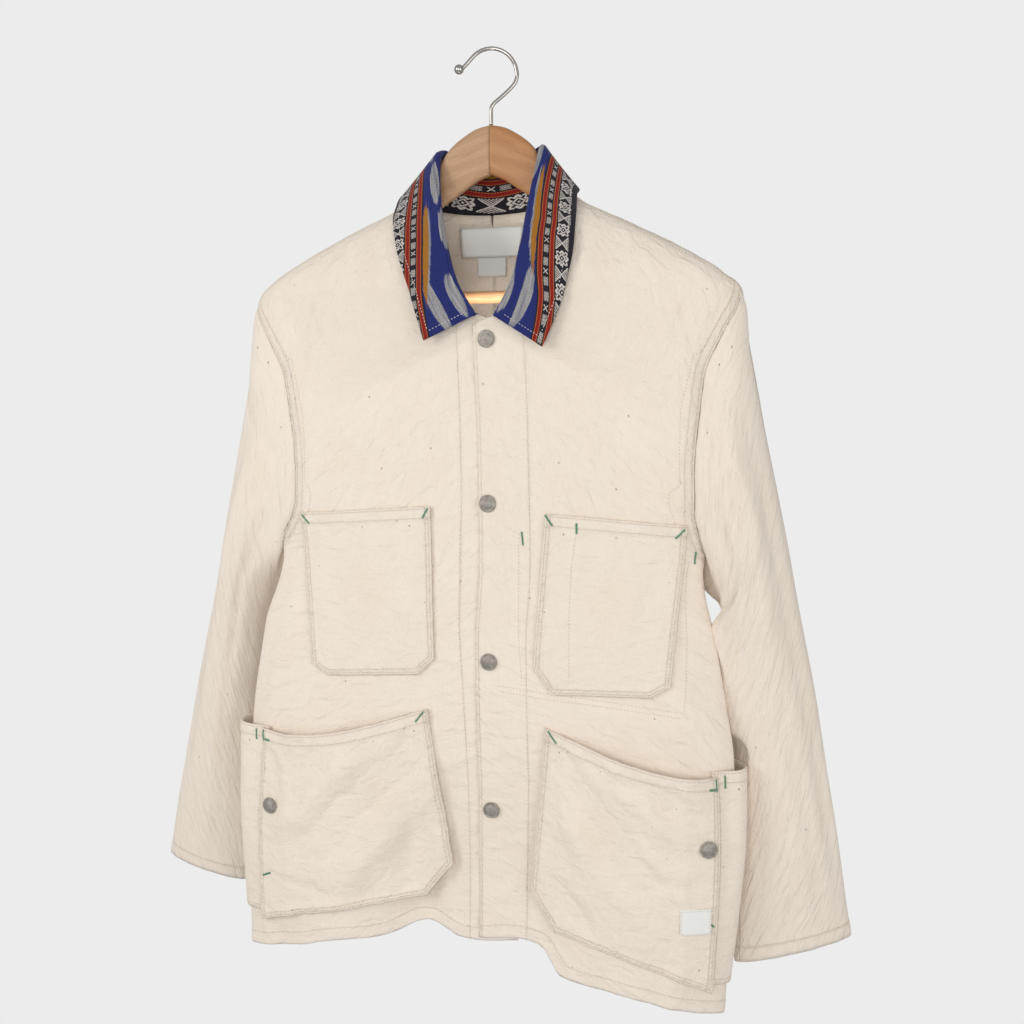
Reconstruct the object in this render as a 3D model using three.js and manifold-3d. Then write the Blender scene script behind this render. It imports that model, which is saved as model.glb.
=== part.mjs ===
// Chore jacket of undyed cotton, hanging on a wooden hanger by its wire hook.
// Millimetres, +Z up, +X toward the wearer's left, -Y toward the front.
// The origin is the inner top of the hook, where it rests on its support.

import * as THREE from 'three';
import { mergeVertices } from 'three/addons/utils/BufferGeometryUtils.js';
import Module from 'manifold-3d';

const wasm = await Module();
wasm.setup();

// Driving dimensions of the cloth
const clothWall = 1.6;
const collarWall = 1.8;
const labelWall = 1.0;
const labelGap = 0.7;
const neckLabelGap = 2.4;
const seamGap = 0.3;
const layerGap = 1.2;
const sideSeamTurn = 1.05;
const backNeckHeight = -139;
const shoulderHeight = -213;
const frontNeckHeight = -241;
const underarmHeight = -450;
const frontHemHeight = -800;
const sideHemHeight = { 1: -858, '-1': -852 };
const backHemHeight = -822;
const leftEdgeTurn = -0.03;
const rightEdgeTurn = -0.045;
const bodyTwist = 3.5;
const backDrift = 8;

// Rows of the panel grids
const neckRows = 6;
const armholeRows = 10;
const skirtRows = 12;
const panelColumns = 13;
const armholeInnerHeight = -440;

// The body's outline at each height: half width at the sides, the cloth's place at centre
// front and centre back, how far the sides draw in behind the front fold, how far the
// shoulders sweep forward, how far the front edge lies off the middle, how far the whole
// ring stands aside, and how square its corners are.
const bodyRings = [
  { z: -116, half: 59, front: -14, back: 21, tuck: 0.0, sweep: 0, drift: 0, aside: 0, square: 0.12 },
  { z: -126, half: 74, front: -20, back: 23, tuck: 0.0, sweep: 0, drift: 0, aside: 0, square: 0.12 },
  { z: -136, half: 89, front: -28, back: 25, tuck: 0.0, sweep: 1, drift: 1, aside: 0, square: 0.12 },
  { z: -155, half: 130, front: -37, back: 27, tuck: 0.0, sweep: 4, drift: 4, aside: 0, square: 0.12 },
  { z: -180, half: 180, front: -44, back: 31, tuck: 0.0, sweep: 7, drift: 7, aside: 0, square: 0.12 },
  { z: -198, half: 209, front: -48, back: 32, tuck: 0.0, sweep: 9, drift: 9, aside: 0, square: 0.12 },
  { z: -213, half: 225, front: -50, back: 33, tuck: 0.0, sweep: 9, drift: 11, aside: 0, square: 0.12 },
  { z: -235, half: 231, front: -53, back: 34, tuck: 0.0, sweep: 9, drift: 13, aside: 0, square: 0.12 },
  { z: -310, half: 233, front: -58, back: 35, tuck: 0.0, sweep: 7, drift: 15, aside: 0, square: 0.12 },
  { z: -380, half: 225, front: -61, back: 35, tuck: 0.04, sweep: 4, drift: 17, aside: 0, square: 0.13 },
  { z: -450, half: 209, front: -64, back: 34, tuck: 0.12, sweep: 0, drift: 19, aside: -1, square: 0.15 },
  { z: -520, half: 226, front: -66, back: 33, tuck: 0.17, sweep: 0, drift: 21, aside: -5, square: 0.19 },
  { z: -620, half: 241, front: -67, back: 31, tuck: 0.21, sweep: 0, drift: 24, aside: -5, square: 0.25 },
  { z: -720, half: 246, front: -66, back: 30, tuck: 0.22, sweep: 0, drift: 26, aside: -8, square: 0.27 },
  { z: -860, half: 243, front: -64, back: 30, tuck: 0.21, sweep: 0, drift: 29, aside: -13, square: 0.27 },
];

// The large soft folds: place round the body in quarter turns from centre front, positive
// on the wearer's left, the heights where each starts and ends, its half width in quarter
// turns, and how far it stands out (a trough is negative).
const bodyFolds = [
  { turn: 0.05, top: -560, bottom: -860, spread: 0.10, out: -11 },
  { turn: 0.33, top: -560, bottom: -860, spread: 0.16, out: 9 },
  { turn: -0.14, top: -600, bottom: -860, spread: 0.10, out: -19 },
  { turn: -0.36, top: -560, bottom: -860, spread: 0.16, out: 8 },
  { turn: 1.70, top: -420, bottom: -840, spread: 0.12, out: -9 },
  { turn: -1.62, top: -460, bottom: -840, spread: 0.13, out: -10 },
];

// The neckline from the shoulder seam to the centre front
const frontNeckline = [
  { down: 0.0, turn: 0.85, z: -120 },
  { down: 0.15, turn: 0.62, z: -130 },
  { down: 0.35, turn: 0.33, z: -156 },
  { down: 0.6, turn: 0.19, z: -193 },
  { down: 0.85, turn: 0.09, z: -225 },
  { down: 1.0, turn: 0.0, z: -241 },
];

// The armhole from the shoulder seam to the underarm, in front and behind
const frontArmhole = [
  { down: 0.0, turn: 0.975, z: -213 },
  { down: 0.14, turn: 0.74, z: -240 },
  { down: 0.32, turn: 0.575, z: -288 },
  { down: 0.52, turn: 0.545, z: -342 },
  { down: 0.72, turn: 0.575, z: -395 },
  { down: 0.87, turn: 0.72, z: -432 },
  { down: 1.0, turn: 1.05, z: -450 },
];
const backArmhole = [
  { down: 0.0, turn: 0.975, z: -213 },
  { down: 0.14, turn: 1.20, z: -240 },
  { down: 0.32, turn: 1.36, z: -288 },
  { down: 0.52, turn: 1.42, z: -342 },
  { down: 0.72, turn: 1.40, z: -395 },
  { down: 0.87, turn: 1.28, z: -432 },
  { down: 1.0, turn: 1.05, z: -450 },
];

// Stations down each sleeve: its outer and inner edge, half its depth from front to back,
// and how far the section still follows the armhole
const sleeveLeft = [
  { along: 0.00, outX: 226, outY: -15, outZ: -213, inX: 203, inY: -5, inZ: -450, deep: 38, follow: 1.0 },
  { along: 0.08, outX: 232, outY: -11, outZ: -262, inX: 209, inY: -3, inZ: -461, deep: 44, follow: 0.6 },
  { along: 0.17, outX: 243, outY: -2, outZ: -322, inX: 215, inY: -1, inZ: -474, deep: 48, follow: 0.25 },
  { along: 0.27, outX: 257, outY: 5, outZ: -382, inX: 215, inY: 1, inZ: -490, deep: 50, follow: 0.06 },
  { along: 0.37, outX: 270, outY: 10, outZ: -440, inX: 207, inY: 3, inZ: -512, deep: 48, follow: 0.0 },
  { along: 0.48, outX: 282, outY: 15, outZ: -500, inX: 205, inY: 6, inZ: -544, deep: 42, follow: 0.0 },
  { along: 0.62, outX: 298, outY: 21, outZ: -580, inX: 212, inY: 9, inZ: -600, deep: 35, follow: 0.0 },
  { along: 0.76, outX: 312, outY: 26, outZ: -660, inX: 226, inY: 8, inZ: -672, deep: 28, follow: 0.0 },
  { along: 0.89, outX: 323, outY: 31, outZ: -730, inX: 233, inY: 4, inZ: -748, deep: 21, follow: 0.0 },
  { along: 1.00, outX: 333, outY: 35, outZ: -790, inX: 233, inY: -1, inZ: -814, deep: 14, follow: 0.0 },
];
const sleeveRight = [
  { along: 0.00, outX: 226, outY: -15, outZ: -213, inX: 203, inY: -5, inZ: -450, deep: 38, follow: 1.0 },
  { along: 0.08, outX: 233, outY: -12, outZ: -262, inX: 209, inY: -5, inZ: -461, deep: 44, follow: 0.6 },
  { along: 0.17, outX: 245, outY: -9, outZ: -322, inX: 216, inY: -4, inZ: -474, deep: 48, follow: 0.25 },
  { along: 0.27, outX: 258, outY: -8, outZ: -384, inX: 222, inY: -3, inZ: -490, deep: 50, follow: 0.06 },
  { along: 0.37, outX: 272, outY: -6, outZ: -442, inX: 228, inY: -3, inZ: -512, deep: 48, follow: 0.0 },
  { along: 0.48, outX: 288, outY: -4, outZ: -502, inX: 234, inY: -2, inZ: -544, deep: 43, follow: 0.0 },
  { along: 0.62, outX: 311, outY: -3, outZ: -582, inX: 243, inY: -1, inZ: -600, deep: 36, follow: 0.0 },
  { along: 0.76, outX: 332, outY: -2, outZ: -662, inX: 252, inY: 0, inZ: -672, deep: 29, follow: 0.0 },
  { along: 0.89, outX: 350, outY: -1, outZ: -732, inX: 261, inY: 0, inZ: -748, deep: 21, follow: 0.0 },
  { along: 1.00, outX: 363, outY: 0, outZ: -790, inX: 271, inY: 0, inZ: -808, deep: 14, follow: 0.0 },
];
// The front hem round the body
const frontHem = {
  1: [
    { turn: -0.03, z: -802 },
    { turn: 0.05, z: -797 },
    { turn: 0.092, z: -799 },
    { turn: 0.114, z: -812 },
    { turn: 0.136, z: -825 },
    { turn: 0.18, z: -828 },
    { turn: 0.27, z: -832 },
    { turn: 0.375, z: -838 },
    { turn: 0.52, z: -846 },
    { turn: 0.8, z: -852 },
    { turn: 1.05, z: -858 },
  ],
  '-1': [
    { turn: -0.045, z: -801 },
    { turn: 0.07, z: -806 },
    { turn: 0.093, z: -802 },
    { turn: 0.136, z: -795 },
    { turn: 0.156, z: -797 },
    { turn: 0.196, z: -806 },
    { turn: 0.235, z: -811 },
    { turn: 0.326, z: -815 },
    { turn: 0.453, z: -829 },
    { turn: 0.66, z: -843 },
    { turn: 1.05, z: -852 },
  ],
};

const sleeveRings = 18;
const sleeveClearance = 1.2;

// The collar from centre back (round = 0) to its front end (round = 1): its fold line, and
// the outer edge of its leaf. Each half ends at the same distance from the front edge.
const collarLine = [
  { round: 0.0, rollX: 0, rollY: 22, rollZ: -91, edgeX: 0, edgeY: 40, edgeZ: -151 },
  { round: 0.18, rollX: 27, rollY: 19, rollZ: -88, edgeX: 40, edgeY: 37, edgeZ: -146 },
  { round: 0.34, rollX: 45, rollY: 8, rollZ: -82, edgeX: 76, edgeY: 24, edgeZ: -129 },
  { round: 0.46, rollX: 47, rollY: -6, rollZ: -86, edgeX: 86, edgeY: 0, edgeZ: -123 },
  { round: 0.58, rollX: 43, rollY: -20, rollZ: -116, edgeX: 87, edgeY: -26, edgeZ: -140 },
  { round: 0.72, rollX: 36, rollY: -36, rollZ: -158, edgeX: 83, edgeY: -46, edgeZ: -170 },
  { round: 0.87, rollX: 25, rollY: -48, rollZ: -202, edgeX: 70, edgeY: -57, edgeZ: -213 },
  { round: 1.0, rollX: 8, rollY: -57, rollZ: -233, edgeX: 54, edgeY: -65, edgeZ: -255 },
];
const collarHalfColumns = 12;
const rollRadius = 3.2;
const collarShoulder = 0.5;
const collarReach = 0.92;
const collarStand = 38;
const collarFootGap = 1.0;
const leafGap = 0.7;
const leafOverBody = -118;
const standRows = 3;
const rollRows = 4;
const leafRows = 5;
const frontNeckDrift = 13.5;
const leftLeaf = { trim: 4, drop: 6 };

// Patch pockets on the chest, by the places of their corners across and in height; the
// bottom corners are cut off
const chestPockets = [
  {
    name: 'chest_pocket_right', side: -1, inTopX: -35, outTopX: -166, inBottomX: -31, outBottomX: -153,
    inTopZ: -400, outTopZ: -411, inBottomZ: -551, outBottomZ: -562, clipWide: 0.13, inClip: 14, outClip: 11,
  },
  {
    name: 'chest_pocket_left', side: 1, inTopX: 69, outTopX: 188, inBottomX: 60, outBottomX: 178,
    inTopZ: -403, outTopZ: -411, inBottomZ: -562, outBottomZ: -560, clipWide: 0.14, inClip: 23, outClip: 10,
  },
];

// Lower pockets: the inner edge across, the side edge as a turn, and how far the mouth gapes
const lowerPockets = [
  {
    name: 'lower_pocket_right', side: -1, inTopX: -37, inBottomX: -17, inTurn: 0.15, sideTurn: 0.62,
    inTopZ: -583, sideTopZ: -618, inBottomZ: -761, sideBottomZ: -813, clipWide: 0.11, inClip: 30, gape: 7,
    sag: 14,
  },
  {
    name: 'lower_pocket_left', side: 1, inTopX: 71, inBottomX: 57, inTurn: 0.12, sideTurn: 0.57,
    inTopZ: -591, sideTopZ: -627, inBottomZ: -777, sideBottomZ: -826, clipWide: 0.10, inClip: 31, gape: 12,
    sag: 12,
  },
];

// The under layer of each lower pocket, from beneath its side edge round to the back
const sidePockets = [
  { name: 'side_pocket_right', side: -1, from: 0.5, to: 1.36, topZ: -617, frontBottomZ: -810, backBottomZ: -812 },
  { name: 'side_pocket_left', side: 1, from: 0.45, to: 1.36, topZ: -623, frontBottomZ: -822, backBottomZ: -828 },
];
const sidePocketGap = 0.6;
const sidePocketGape = 14;
const gapeFromTurn = 0.62;
const pocketBridging = 0.4;
const pocketMouthDepth = 120;
const pocketLap = 0.12;

// Labels: inside the back neck, and on the left lower pocket
const neckLabel = { left: -38, right: 23, topZ: -150, bottomZ: -176 };
const careLabel = { left: -23, right: 5, topZ: -176.4, bottomZ: -194 };
const pocketLabel = { left: 190, right: 214, topZ: -744, bottomZ: -767 };

// Tack buttons
const buttonRadius = 7.6;
const buttonHeight = 3.2;
const buttonGap = 0.4;
const pocketButtonGap = 1.1;
const frontButtons = [
  { x: 15, z: -254 },
  { x: 18, z: -396 },
  { x: 20, z: -536 },
  { x: 20, z: -674 },
];
const pocketButtons = [
  { name: 'pocket_button_right', side: -1, turn: 0.55, z: -692 },
  { name: 'pocket_button_left', side: 1, turn: 0.51, z: -690 },
];

// The wooden hanger: its outline from the middle to the end of an arm. Past the neck its
// top follows the shoulder from below.
const hangerNeck = [
  { x: 0, top: -64, bottom: -107 },
  { x: 12, top: -66.5, bottom: -112 },
  { x: 25, top: -73, bottom: -120 },
  { x: 38, top: -83, bottom: -128 },
  { x: 46, top: -94, bottom: -133 },
  { x: 52, top: -107, bottom: -137 },
  { x: 58, top: -118, bottom: -141 },
  { x: 64, top: -125, bottom: -145 },
  { x: 74, top: -131, bottom: -152 },
];
const armStations = [92, 115, 140, 165, 185, 198];
const armEnd = 208;
const armDepthAtEnd = 20;
const hangerThick = 12.5;
const armSides = 16;
const armClearance = 1.3;
const ridgeDrop = 4.5;
const barRadius = 5.5;
const barHeight = -216;
const barSocketEnd = 200;

// The wire hook, turned a little in its socket: across and height of its bends, with the
// round top between the two lists
const wireRadius = 1.7;
const hookRadius = 22.5;
const hookMiddle = [0.5, -20.8];
const hookTurn = 18;
const hookStem = [[0, -63.6], [0, -56], [0, -50], [1.4, -46.6], [9, -39.8], [16.6, -33], [21.4, -27.4]];
const hookTip = [[-21.6, -11.6], [-25.6, -15.2], [-28.4, -16.2]];
const hookArc = [-4, 138];
const hookArcSteps = 10;
const hookSteps = 32;
const hookBallRadius = 4.2;
const wireSides = 10;

// Colours of the finishes
const ecru = new THREE.Color(0xe9ddc6);
const blue = new THREE.Color(0x2b3a86);
const white = new THREE.Color(0xeeeeea);
const metalGrey = new THREE.Color(0x9d9a96);
const paleWood = new THREE.Color(0xcda47c);
const chrome = new THREE.Color(0xc8c8c8);

const degrees = Math.PI / 180;
const vector = (x, y, z) => new THREE.Vector3(x, y, z);
const mix = (from, to, share) => from + (to - from) * share;
const clamp01 = (value) => Math.min(1, Math.max(0, value));

function smoothStep(value) {
  const share = clamp01(value);
  return share * share * (3 - 2 * share);
}

// Joins the rows of a table by smooth curves that never overshoot a row
function smoothTable(rows, key) {
  const sorted = [...rows].sort((a, b) => a[key] - b[key]);
  const columns = Object.keys(sorted[0]).filter((name) => name !== key);
  const slopes = {};
  for (const name of columns) {
    const steps = sorted.slice(1).map((row, i) => (row[name] - sorted[i][name]) / (row[key] - sorted[i][key]));
    slopes[name] = sorted.map((row, i) => {
      if (i === 0) return steps[0];
      if (i === sorted.length - 1) return steps[i - 1];
      const [before, after] = [steps[i - 1], steps[i]];
      return before * after > 0 ? (2 * before * after) / (before + after) : 0;
    });
  }
  return (value) => {
    const limited = Math.min(sorted[sorted.length - 1][key], Math.max(sorted[0][key], value));
    let i = 0;
    while (i < sorted.length - 2 && limited > sorted[i + 1][key]) i += 1;
    const width = sorted[i + 1][key] - sorted[i][key];
    const t = (limited - sorted[i][key]) / width;
    const result = {};
    for (const name of columns) {
      const rise = t * t * (3 - 2 * t);
      const leave = t * (1 - t) * (1 - t) * width * slopes[name][i];
      const arrive = t * t * (t - 1) * width * slopes[name][i + 1];
      result[name] = mix(sorted[i][name], sorted[i + 1][name], rise) + leave + arrive;
    }
    return result;
  };
}

const bodyRing = smoothTable(bodyRings, 'z');
const neckline = smoothTable(frontNeckline, 'down');
const armholeInFront = smoothTable(frontArmhole, 'down');
const armholeBehind = smoothTable(backArmhole, 'down');

// How far the folds stand out at a place, measured the short way round the body
function foldDepth(side, turn, z) {
  let depth = 0;
  for (const fold of bodyFolds) {
    const apart = side * turn - fold.turn;
    const shortest = apart - 4 * Math.round(apart / 4);
    const reach = smoothStep(((fold.top - z) / (fold.top - fold.bottom)) * 1.6);
    depth += fold.out * reach * Math.exp(-((shortest / fold.spread) ** 2));
  }
  return depth;
}

// A point of the body's cloth: turn runs from 0 at centre front over 1 at the side to 2 at
// centre back, on the wearer's left (side 1) or right (side -1)
function bodyPoint(side, turn, z) {
  const ring = bodyRing(z);
  const angle = (1 - turn) * 90 * degrees;
  const across = Math.cos(angle) * (1 + ring.square * Math.sin(angle) ** 2);
  const forward = Math.sin(angle) * (1 + ring.square * Math.cos(angle) ** 2);
  const drawnIn = 1 - ring.tuck * smoothStep((0.55 - forward) / 0.75);
  const depth = (ring.back - ring.front) / 2;
  const fold = foldDepth(side, turn, z);
  const drift = (forward > 0 ? ring.drift : -backDrift) * forward ** 2;
  const x = side * ring.half * across * drawnIn + drift + ring.aside;
  const y = (ring.front + ring.back) / 2 - forward * (depth + fold) - ring.sweep * across ** 2;
  const twist = bodyTwist * degrees * smoothStep((shoulderHeight - z) / 120);
  return vector(
    x * Math.cos(twist) - y * Math.sin(twist),
    x * Math.sin(twist) + y * Math.cos(twist),
    z,
  );
}

function bodyNormal(side, turn, z) {
  const round = bodyPoint(side, turn + 0.004, z).sub(bodyPoint(side, turn - 0.004, z));
  const down = bodyPoint(side, turn, z - 0.5).sub(bodyPoint(side, turn, z + 0.5));
  return round.cross(down).multiplyScalar(-side).normalize();
}

// A place on the body moved out along its normal, as a grid node of a wall
function onBody(side, turn, z, lift = 0) {
  const out = bodyNormal(side, turn, z);
  return { point: bodyPoint(side, turn, z).addScaledVector(out, lift), out };
}

// Pushes a place out of the body, at least the given distance from its cloth
function clearOfBody(side, point, distance) {
  let nearest = 0;
  let least = Infinity;
  for (let step = 0.04; step > 0.002; step /= 3) {
    const from = least === Infinity ? -0.2 : nearest - step * 3;
    const to = least === Infinity ? 1.8 : nearest + step * 3;
    for (let turn = from; turn <= to; turn += step) {
      const apart = bodyPoint(side, turn, point.z).distanceTo(point);
      if (apart < least) [least, nearest] = [apart, turn];
    }
  }
  const out = bodyNormal(side, nearest, point.z);
  const height = point.clone().sub(bodyPoint(side, nearest, point.z)).dot(out);
  const wanted = distance(nearest);
  return height < wanted ? point.clone().addScaledVector(out, wanted - height) : point;
}

// The turn where the front of the body has the given x
function turnAtX(side, x, z) {
  let low = -0.2;
  let high = 0.8;
  for (let i = 0; i < 30; i += 1) {
    const middle = (low + high) / 2;
    if (side * bodyPoint(side, middle, z).x < side * x) low = middle;
    else high = middle;
  }
  return (low + high) / 2;
}

// Draws the edges of a grid back from its seams by half the gap
function drawBack(grid, edges, closed = false) {
  const rows = grid.length;
  const columns = grid[0].length;
  const endPull = edges.endPull ?? (() => edges.end);
  const topPull = edges.topPull ?? (() => edges.top);
  const moved = grid.map((row) => row.map((node) => ({ point: node.point.clone(), out: node.out })));
  const pull = (i, j, k, l, distance) => {
    const toward = grid[k][l].point.clone().sub(grid[i][j].point).normalize();
    moved[i][j].point.addScaledVector(toward, distance);
  };
  for (let j = 0; j < columns; j += 1) {
    if (edges.top) pull(0, j, 1, j, topPull(j));
    if (edges.bottom) pull(rows - 1, j, rows - 2, j, edges.bottom);
  }
  if (!closed) {
    for (let i = 0; i < rows; i += 1) {
      if (edges.start) pull(i, 0, i, 1, edges.start);
      if (edges.end) pull(i, columns - 1, i, columns - 2, endPull(i));
    }
  }
  return moved;
}

// A closed solid: the grid's points outside, the same points moved inward inside
function wallSolid(grid, thickness, closed = false) {
  const rows = grid.length;
  const columns = grid[0].length;
  const positions = [];
  for (const row of grid) for (const node of row) positions.push(...node.point.toArray());
  for (const row of grid) {
    for (const node of row) {
      positions.push(...node.point.clone().addScaledVector(node.out, -thickness).toArray());
    }
  }
  const outer = (i, j) => i * columns + (j % columns);
  const inner = (i, j) => rows * columns + outer(i, j);
  const faces = [];
  const quad = (a, b, c, d) => faces.push(a, b, c, a, c, d);
  const lastColumn = closed ? columns : columns - 1;
  for (let i = 0; i < rows - 1; i += 1) {
    for (let j = 0; j < lastColumn; j += 1) {
      quad(outer(i, j), outer(i + 1, j), outer(i + 1, j + 1), outer(i, j + 1));
      quad(inner(i, j), inner(i, j + 1), inner(i + 1, j + 1), inner(i + 1, j));
    }
  }
  for (let j = 0; j < lastColumn; j += 1) {
    quad(outer(0, j), outer(0, j + 1), inner(0, j + 1), inner(0, j));
    quad(outer(rows - 1, j), inner(rows - 1, j), inner(rows - 1, j + 1), outer(rows - 1, j + 1));
  }
  if (!closed) {
    for (let i = 0; i < rows - 1; i += 1) {
      quad(outer(i, 0), inner(i, 0), inner(i + 1, 0), outer(i + 1, 0));
      quad(outer(i, columns - 1), outer(i + 1, columns - 1), inner(i + 1, columns - 1), inner(i, columns - 1));
    }
  }
  return solidFromFaces(positions, faces);
}

// A closed solid through a row of rings with the same number of points
function loftSolid(rings) {
  const count = rings[0].length;
  const positions = rings.flat().flatMap((point) => point.toArray());
  const faces = [];
  for (let i = 0; i < rings.length - 1; i += 1) {
    for (let j = 0; j < count; j += 1) {
      const next = (j + 1) % count;
      const [a, b] = [i * count + j, i * count + next];
      faces.push(a, b, b + count, a, b + count, a + count);
    }
  }
  for (const [first, forward] of [[0, false], [(rings.length - 1) * count, true]]) {
    for (let j = 1; j < count - 1; j += 1) {
      if (forward) faces.push(first, first + j, first + j + 1);
      else faces.push(first, first + j + 1, first + j);
    }
  }
  return solidFromFaces(positions, faces);
}

// Turns the faces outward where the volume comes out negative
function solidFromFaces(positions, faces) {
  const corner = (index) => vector(...positions.slice(index * 3, index * 3 + 3));
  let volume = 0;
  for (let i = 0; i < faces.length; i += 3) {
    volume += corner(faces[i]).dot(corner(faces[i + 1]).cross(corner(faces[i + 2])));
  }
  const facing = [...faces];
  if (volume < 0) {
    for (let i = 0; i < facing.length; i += 3) {
      [facing[i + 1], facing[i + 2]] = [facing[i + 2], facing[i + 1]];
    }
  }
  const geometry = new THREE.BufferGeometry();
  geometry.setAttribute('position', new THREE.Float32BufferAttribute(positions, 3));
  geometry.setIndex(facing);
  geometry.computeVertexNormals();
  return geometry;
}

function toManifold(geometry) {
  const bare = geometry.clone();
  bare.deleteAttribute('normal');
  bare.deleteAttribute('uv');
  const merged = mergeVertices(bare);
  return new wasm.Manifold(new wasm.Mesh({
    numProp: 3,
    vertProperties: new Float32Array(merged.attributes.position.array),
    triVerts: new Uint32Array(merged.index.array),
  }));
}

function fromManifold(solid) {
  const mesh = solid.getMesh();
  return solidFromFaces(Array.from(mesh.vertProperties), Array.from(mesh.triVerts));
}

const jacket = new THREE.Group();

function addPiece(name, geometry, color, roughness, metalness = 0) {
  const material = new THREE.MeshStandardMaterial({ color, roughness, metalness });
  const mesh = new THREE.Mesh(geometry, material);
  mesh.name = name;
  jacket.add(mesh);
}

const onPanel = layerGap + clothWall;

// How far a side pocket's cloth stands off the body: its mouth gapes at the side
function sidePocketLift(pocket, turn, z) {
  const across = clamp01((turn - gapeFromTurn) / (pocket.to - gapeFromTurn));
  const up = clamp01((z - pocket.frontBottomZ) / (pocket.topZ - pocket.frontBottomZ));
  return onPanel + sidePocketGap + sidePocketGape * Math.sin(Math.PI * across) * up;
}

// What the sleeve keeps clear of beside the body, from just above the pocket's mouth
function sidePocketStandoff(side, turn, z) {
  const pocket = sidePockets.find((entry) => entry.side === side);
  const reach = smoothStep((pocket.topZ + 40 - z) / 30) * smoothStep((turn - 0.3) / 0.2);
  return reach * (sidePocketLift(pocket, turn, Math.min(z, pocket.topZ)) + 1.6);
}

// The armhole seam, shared by the panels and the sleeve
function armholePlace(behind, down) {
  return behind ? armholeBehind(down) : armholeInFront(down);
}

const sleeveTables = { 1: smoothTable(sleeveLeft, 'along'), '-1': smoothTable(sleeveRight, 'along') };

// A point of the sleeve: round runs from 0 at the shoulder seam over the front to 0.5 at
// the underarm and back to 1
function sleevePoint(side, round, along) {
  const station = sleeveTables[side](along);
  const start = sleeveTables[side](0);
  const top = vector(side * station.outX, station.outY, station.outZ);
  const bottom = vector(side * station.inX, station.inY, station.inZ);
  const centre = top.clone().add(bottom).multiplyScalar(0.5);
  const long = top.clone().sub(bottom).multiplyScalar(0.5);
  const front = vector(0, -1, 0).projectOnPlane(long.clone().normalize()).normalize();
  const angle = round * 360 * degrees;
  const own = centre.clone()
    .addScaledVector(long, Math.cos(angle))
    .addScaledVector(front, station.deep * Math.sin(angle));
  if (along <= 0) return startPlace(side, round);
  const clear = (turn) => (
    sleeveClearance * Math.min(1, along / 0.05) + sidePocketStandoff(side, turn, own.z)
  );
  if (station.follow <= 0) return clearOfBody(side, own, clear);
  const seam = startPlace(side, round);
  const startTop = vector(side * start.outX, start.outY, start.outZ);
  const startBottom = vector(side * start.inX, start.inY, start.inZ);
  const startCentre = startTop.add(startBottom).multiplyScalar(0.5);
  const carried = seam.add(centre.clone().sub(startCentre));
  return clearOfBody(side, own.lerp(carried, station.follow), clear);
}

function startPlace(side, round) {
  const turned = round - Math.floor(round);
  const behind = turned > 0.5;
  const place = armholePlace(behind, behind ? (1 - turned) * 2 : turned * 2);
  return bodyPoint(side, place.turn, place.z);
}

function sleeveNormal(side, round, along) {
  const low = Math.max(0, along - 0.01);
  const down = sleevePoint(side, round, along + 0.01).sub(sleevePoint(side, round, low));
  const turned = sleevePoint(side, round + 0.004, along).sub(sleevePoint(side, round - 0.004, along));
  return turned.cross(down).multiplyScalar(side).normalize();
}

// Where body and sleeve meet, both walls end on the plane halfway between them
function armholeMitre(side, behind, down) {
  const place = armholePlace(behind, down);
  const round = behind ? 1 - down / 2 : down / 2;
  const body = bodyNormal(side, place.turn, place.z);
  const sleeve = sleeveNormal(side, Math.min(0.999, Math.max(0.001, round)), 0);
  const middle = body.clone().add(sleeve).normalize();
  return middle.multiplyScalar(1 / Math.max(0.6, middle.dot(body)));
}

function armholeNode(side, behind, down, out) {
  const place = armholePlace(behind, down);
  return { point: bodyPoint(side, place.turn, place.z), out };
}

const hemLine = { 1: smoothTable(frontHem[1], 'turn'), '-1': smoothTable(frontHem['-1'], 'turn') };

// How far the front hem stands above a straight line, and the cloth above it less and less
function hemShape(side, centreTurn, share, below) {
  const turn = mix(centreTurn, sideSeamTurn, share);
  const straight = mix(frontHemHeight, sideHemHeight[side], share);
  return (hemLine[side](turn).z - straight) * below ** 3;
}

// One front or back panel: rows run from the neckline or centre edge to the armhole or side
function panelGrid(side, behind, centreTurn, lift) {
  const hemInner = behind ? backHemHeight : frontHemHeight;
  const columns = panelColumns;
  const chestTurn = behind ? 1.3 : 0.7;
  const grid = [];
  for (let i = 0; i <= armholeRows + skirtRows; i += 1) {
    const inner = innerEdge(i, behind, centreTurn, hemInner);
    const below = Math.max(0, (i - armholeRows) / skirtRows);
    const inArmhole = i <= armholeRows;
    const outer = inArmhole
      ? armholePlace(behind, i / armholeRows)
      : { turn: sideSeamTurn, z: mix(underarmHeight, sideHemHeight[side], below) };
    const follow = inArmhole ? smoothStep(i / 3.5) : 1 - smoothStep(below * 3);
    const row = [];
    for (let j = 0; j <= columns; j += 1) {
      const share = j / columns;
      const straight = mix(inner.turn, outer.turn, share);
      const eased = mix(inner.turn, chestTurn, share) + (outer.turn - chestTurn) * share ** 3;
      const turn = mix(straight, eased, follow);
      const shaped = behind ? 0 : hemShape(side, centreTurn, share, below);
      const z = mix(inner.z, outer.z, share) + shaped;
      row.push(onBody(side, turn, z, lift(turn, z)));
    }
    if (inArmhole) {
      const down = i / armholeRows;
      row[columns] = armholeNode(side, behind, down, armholeMitre(side, behind, down));
    }
    grid.push(row);
  }
  return grid;
}

// The neckline of a front, carried on past the middle to the front edge
function panelNeckline(centreTurn, down) {
  const place = neckline(down);
  return { turn: place.turn + centreTurn * down ** 5, z: place.z };
}

function backNeckline(down) {
  const start = neckline(0);
  return { turn: mix(start.turn, 2, down), z: mix(start.z, backNeckHeight, smoothStep(down)) };
}

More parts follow.
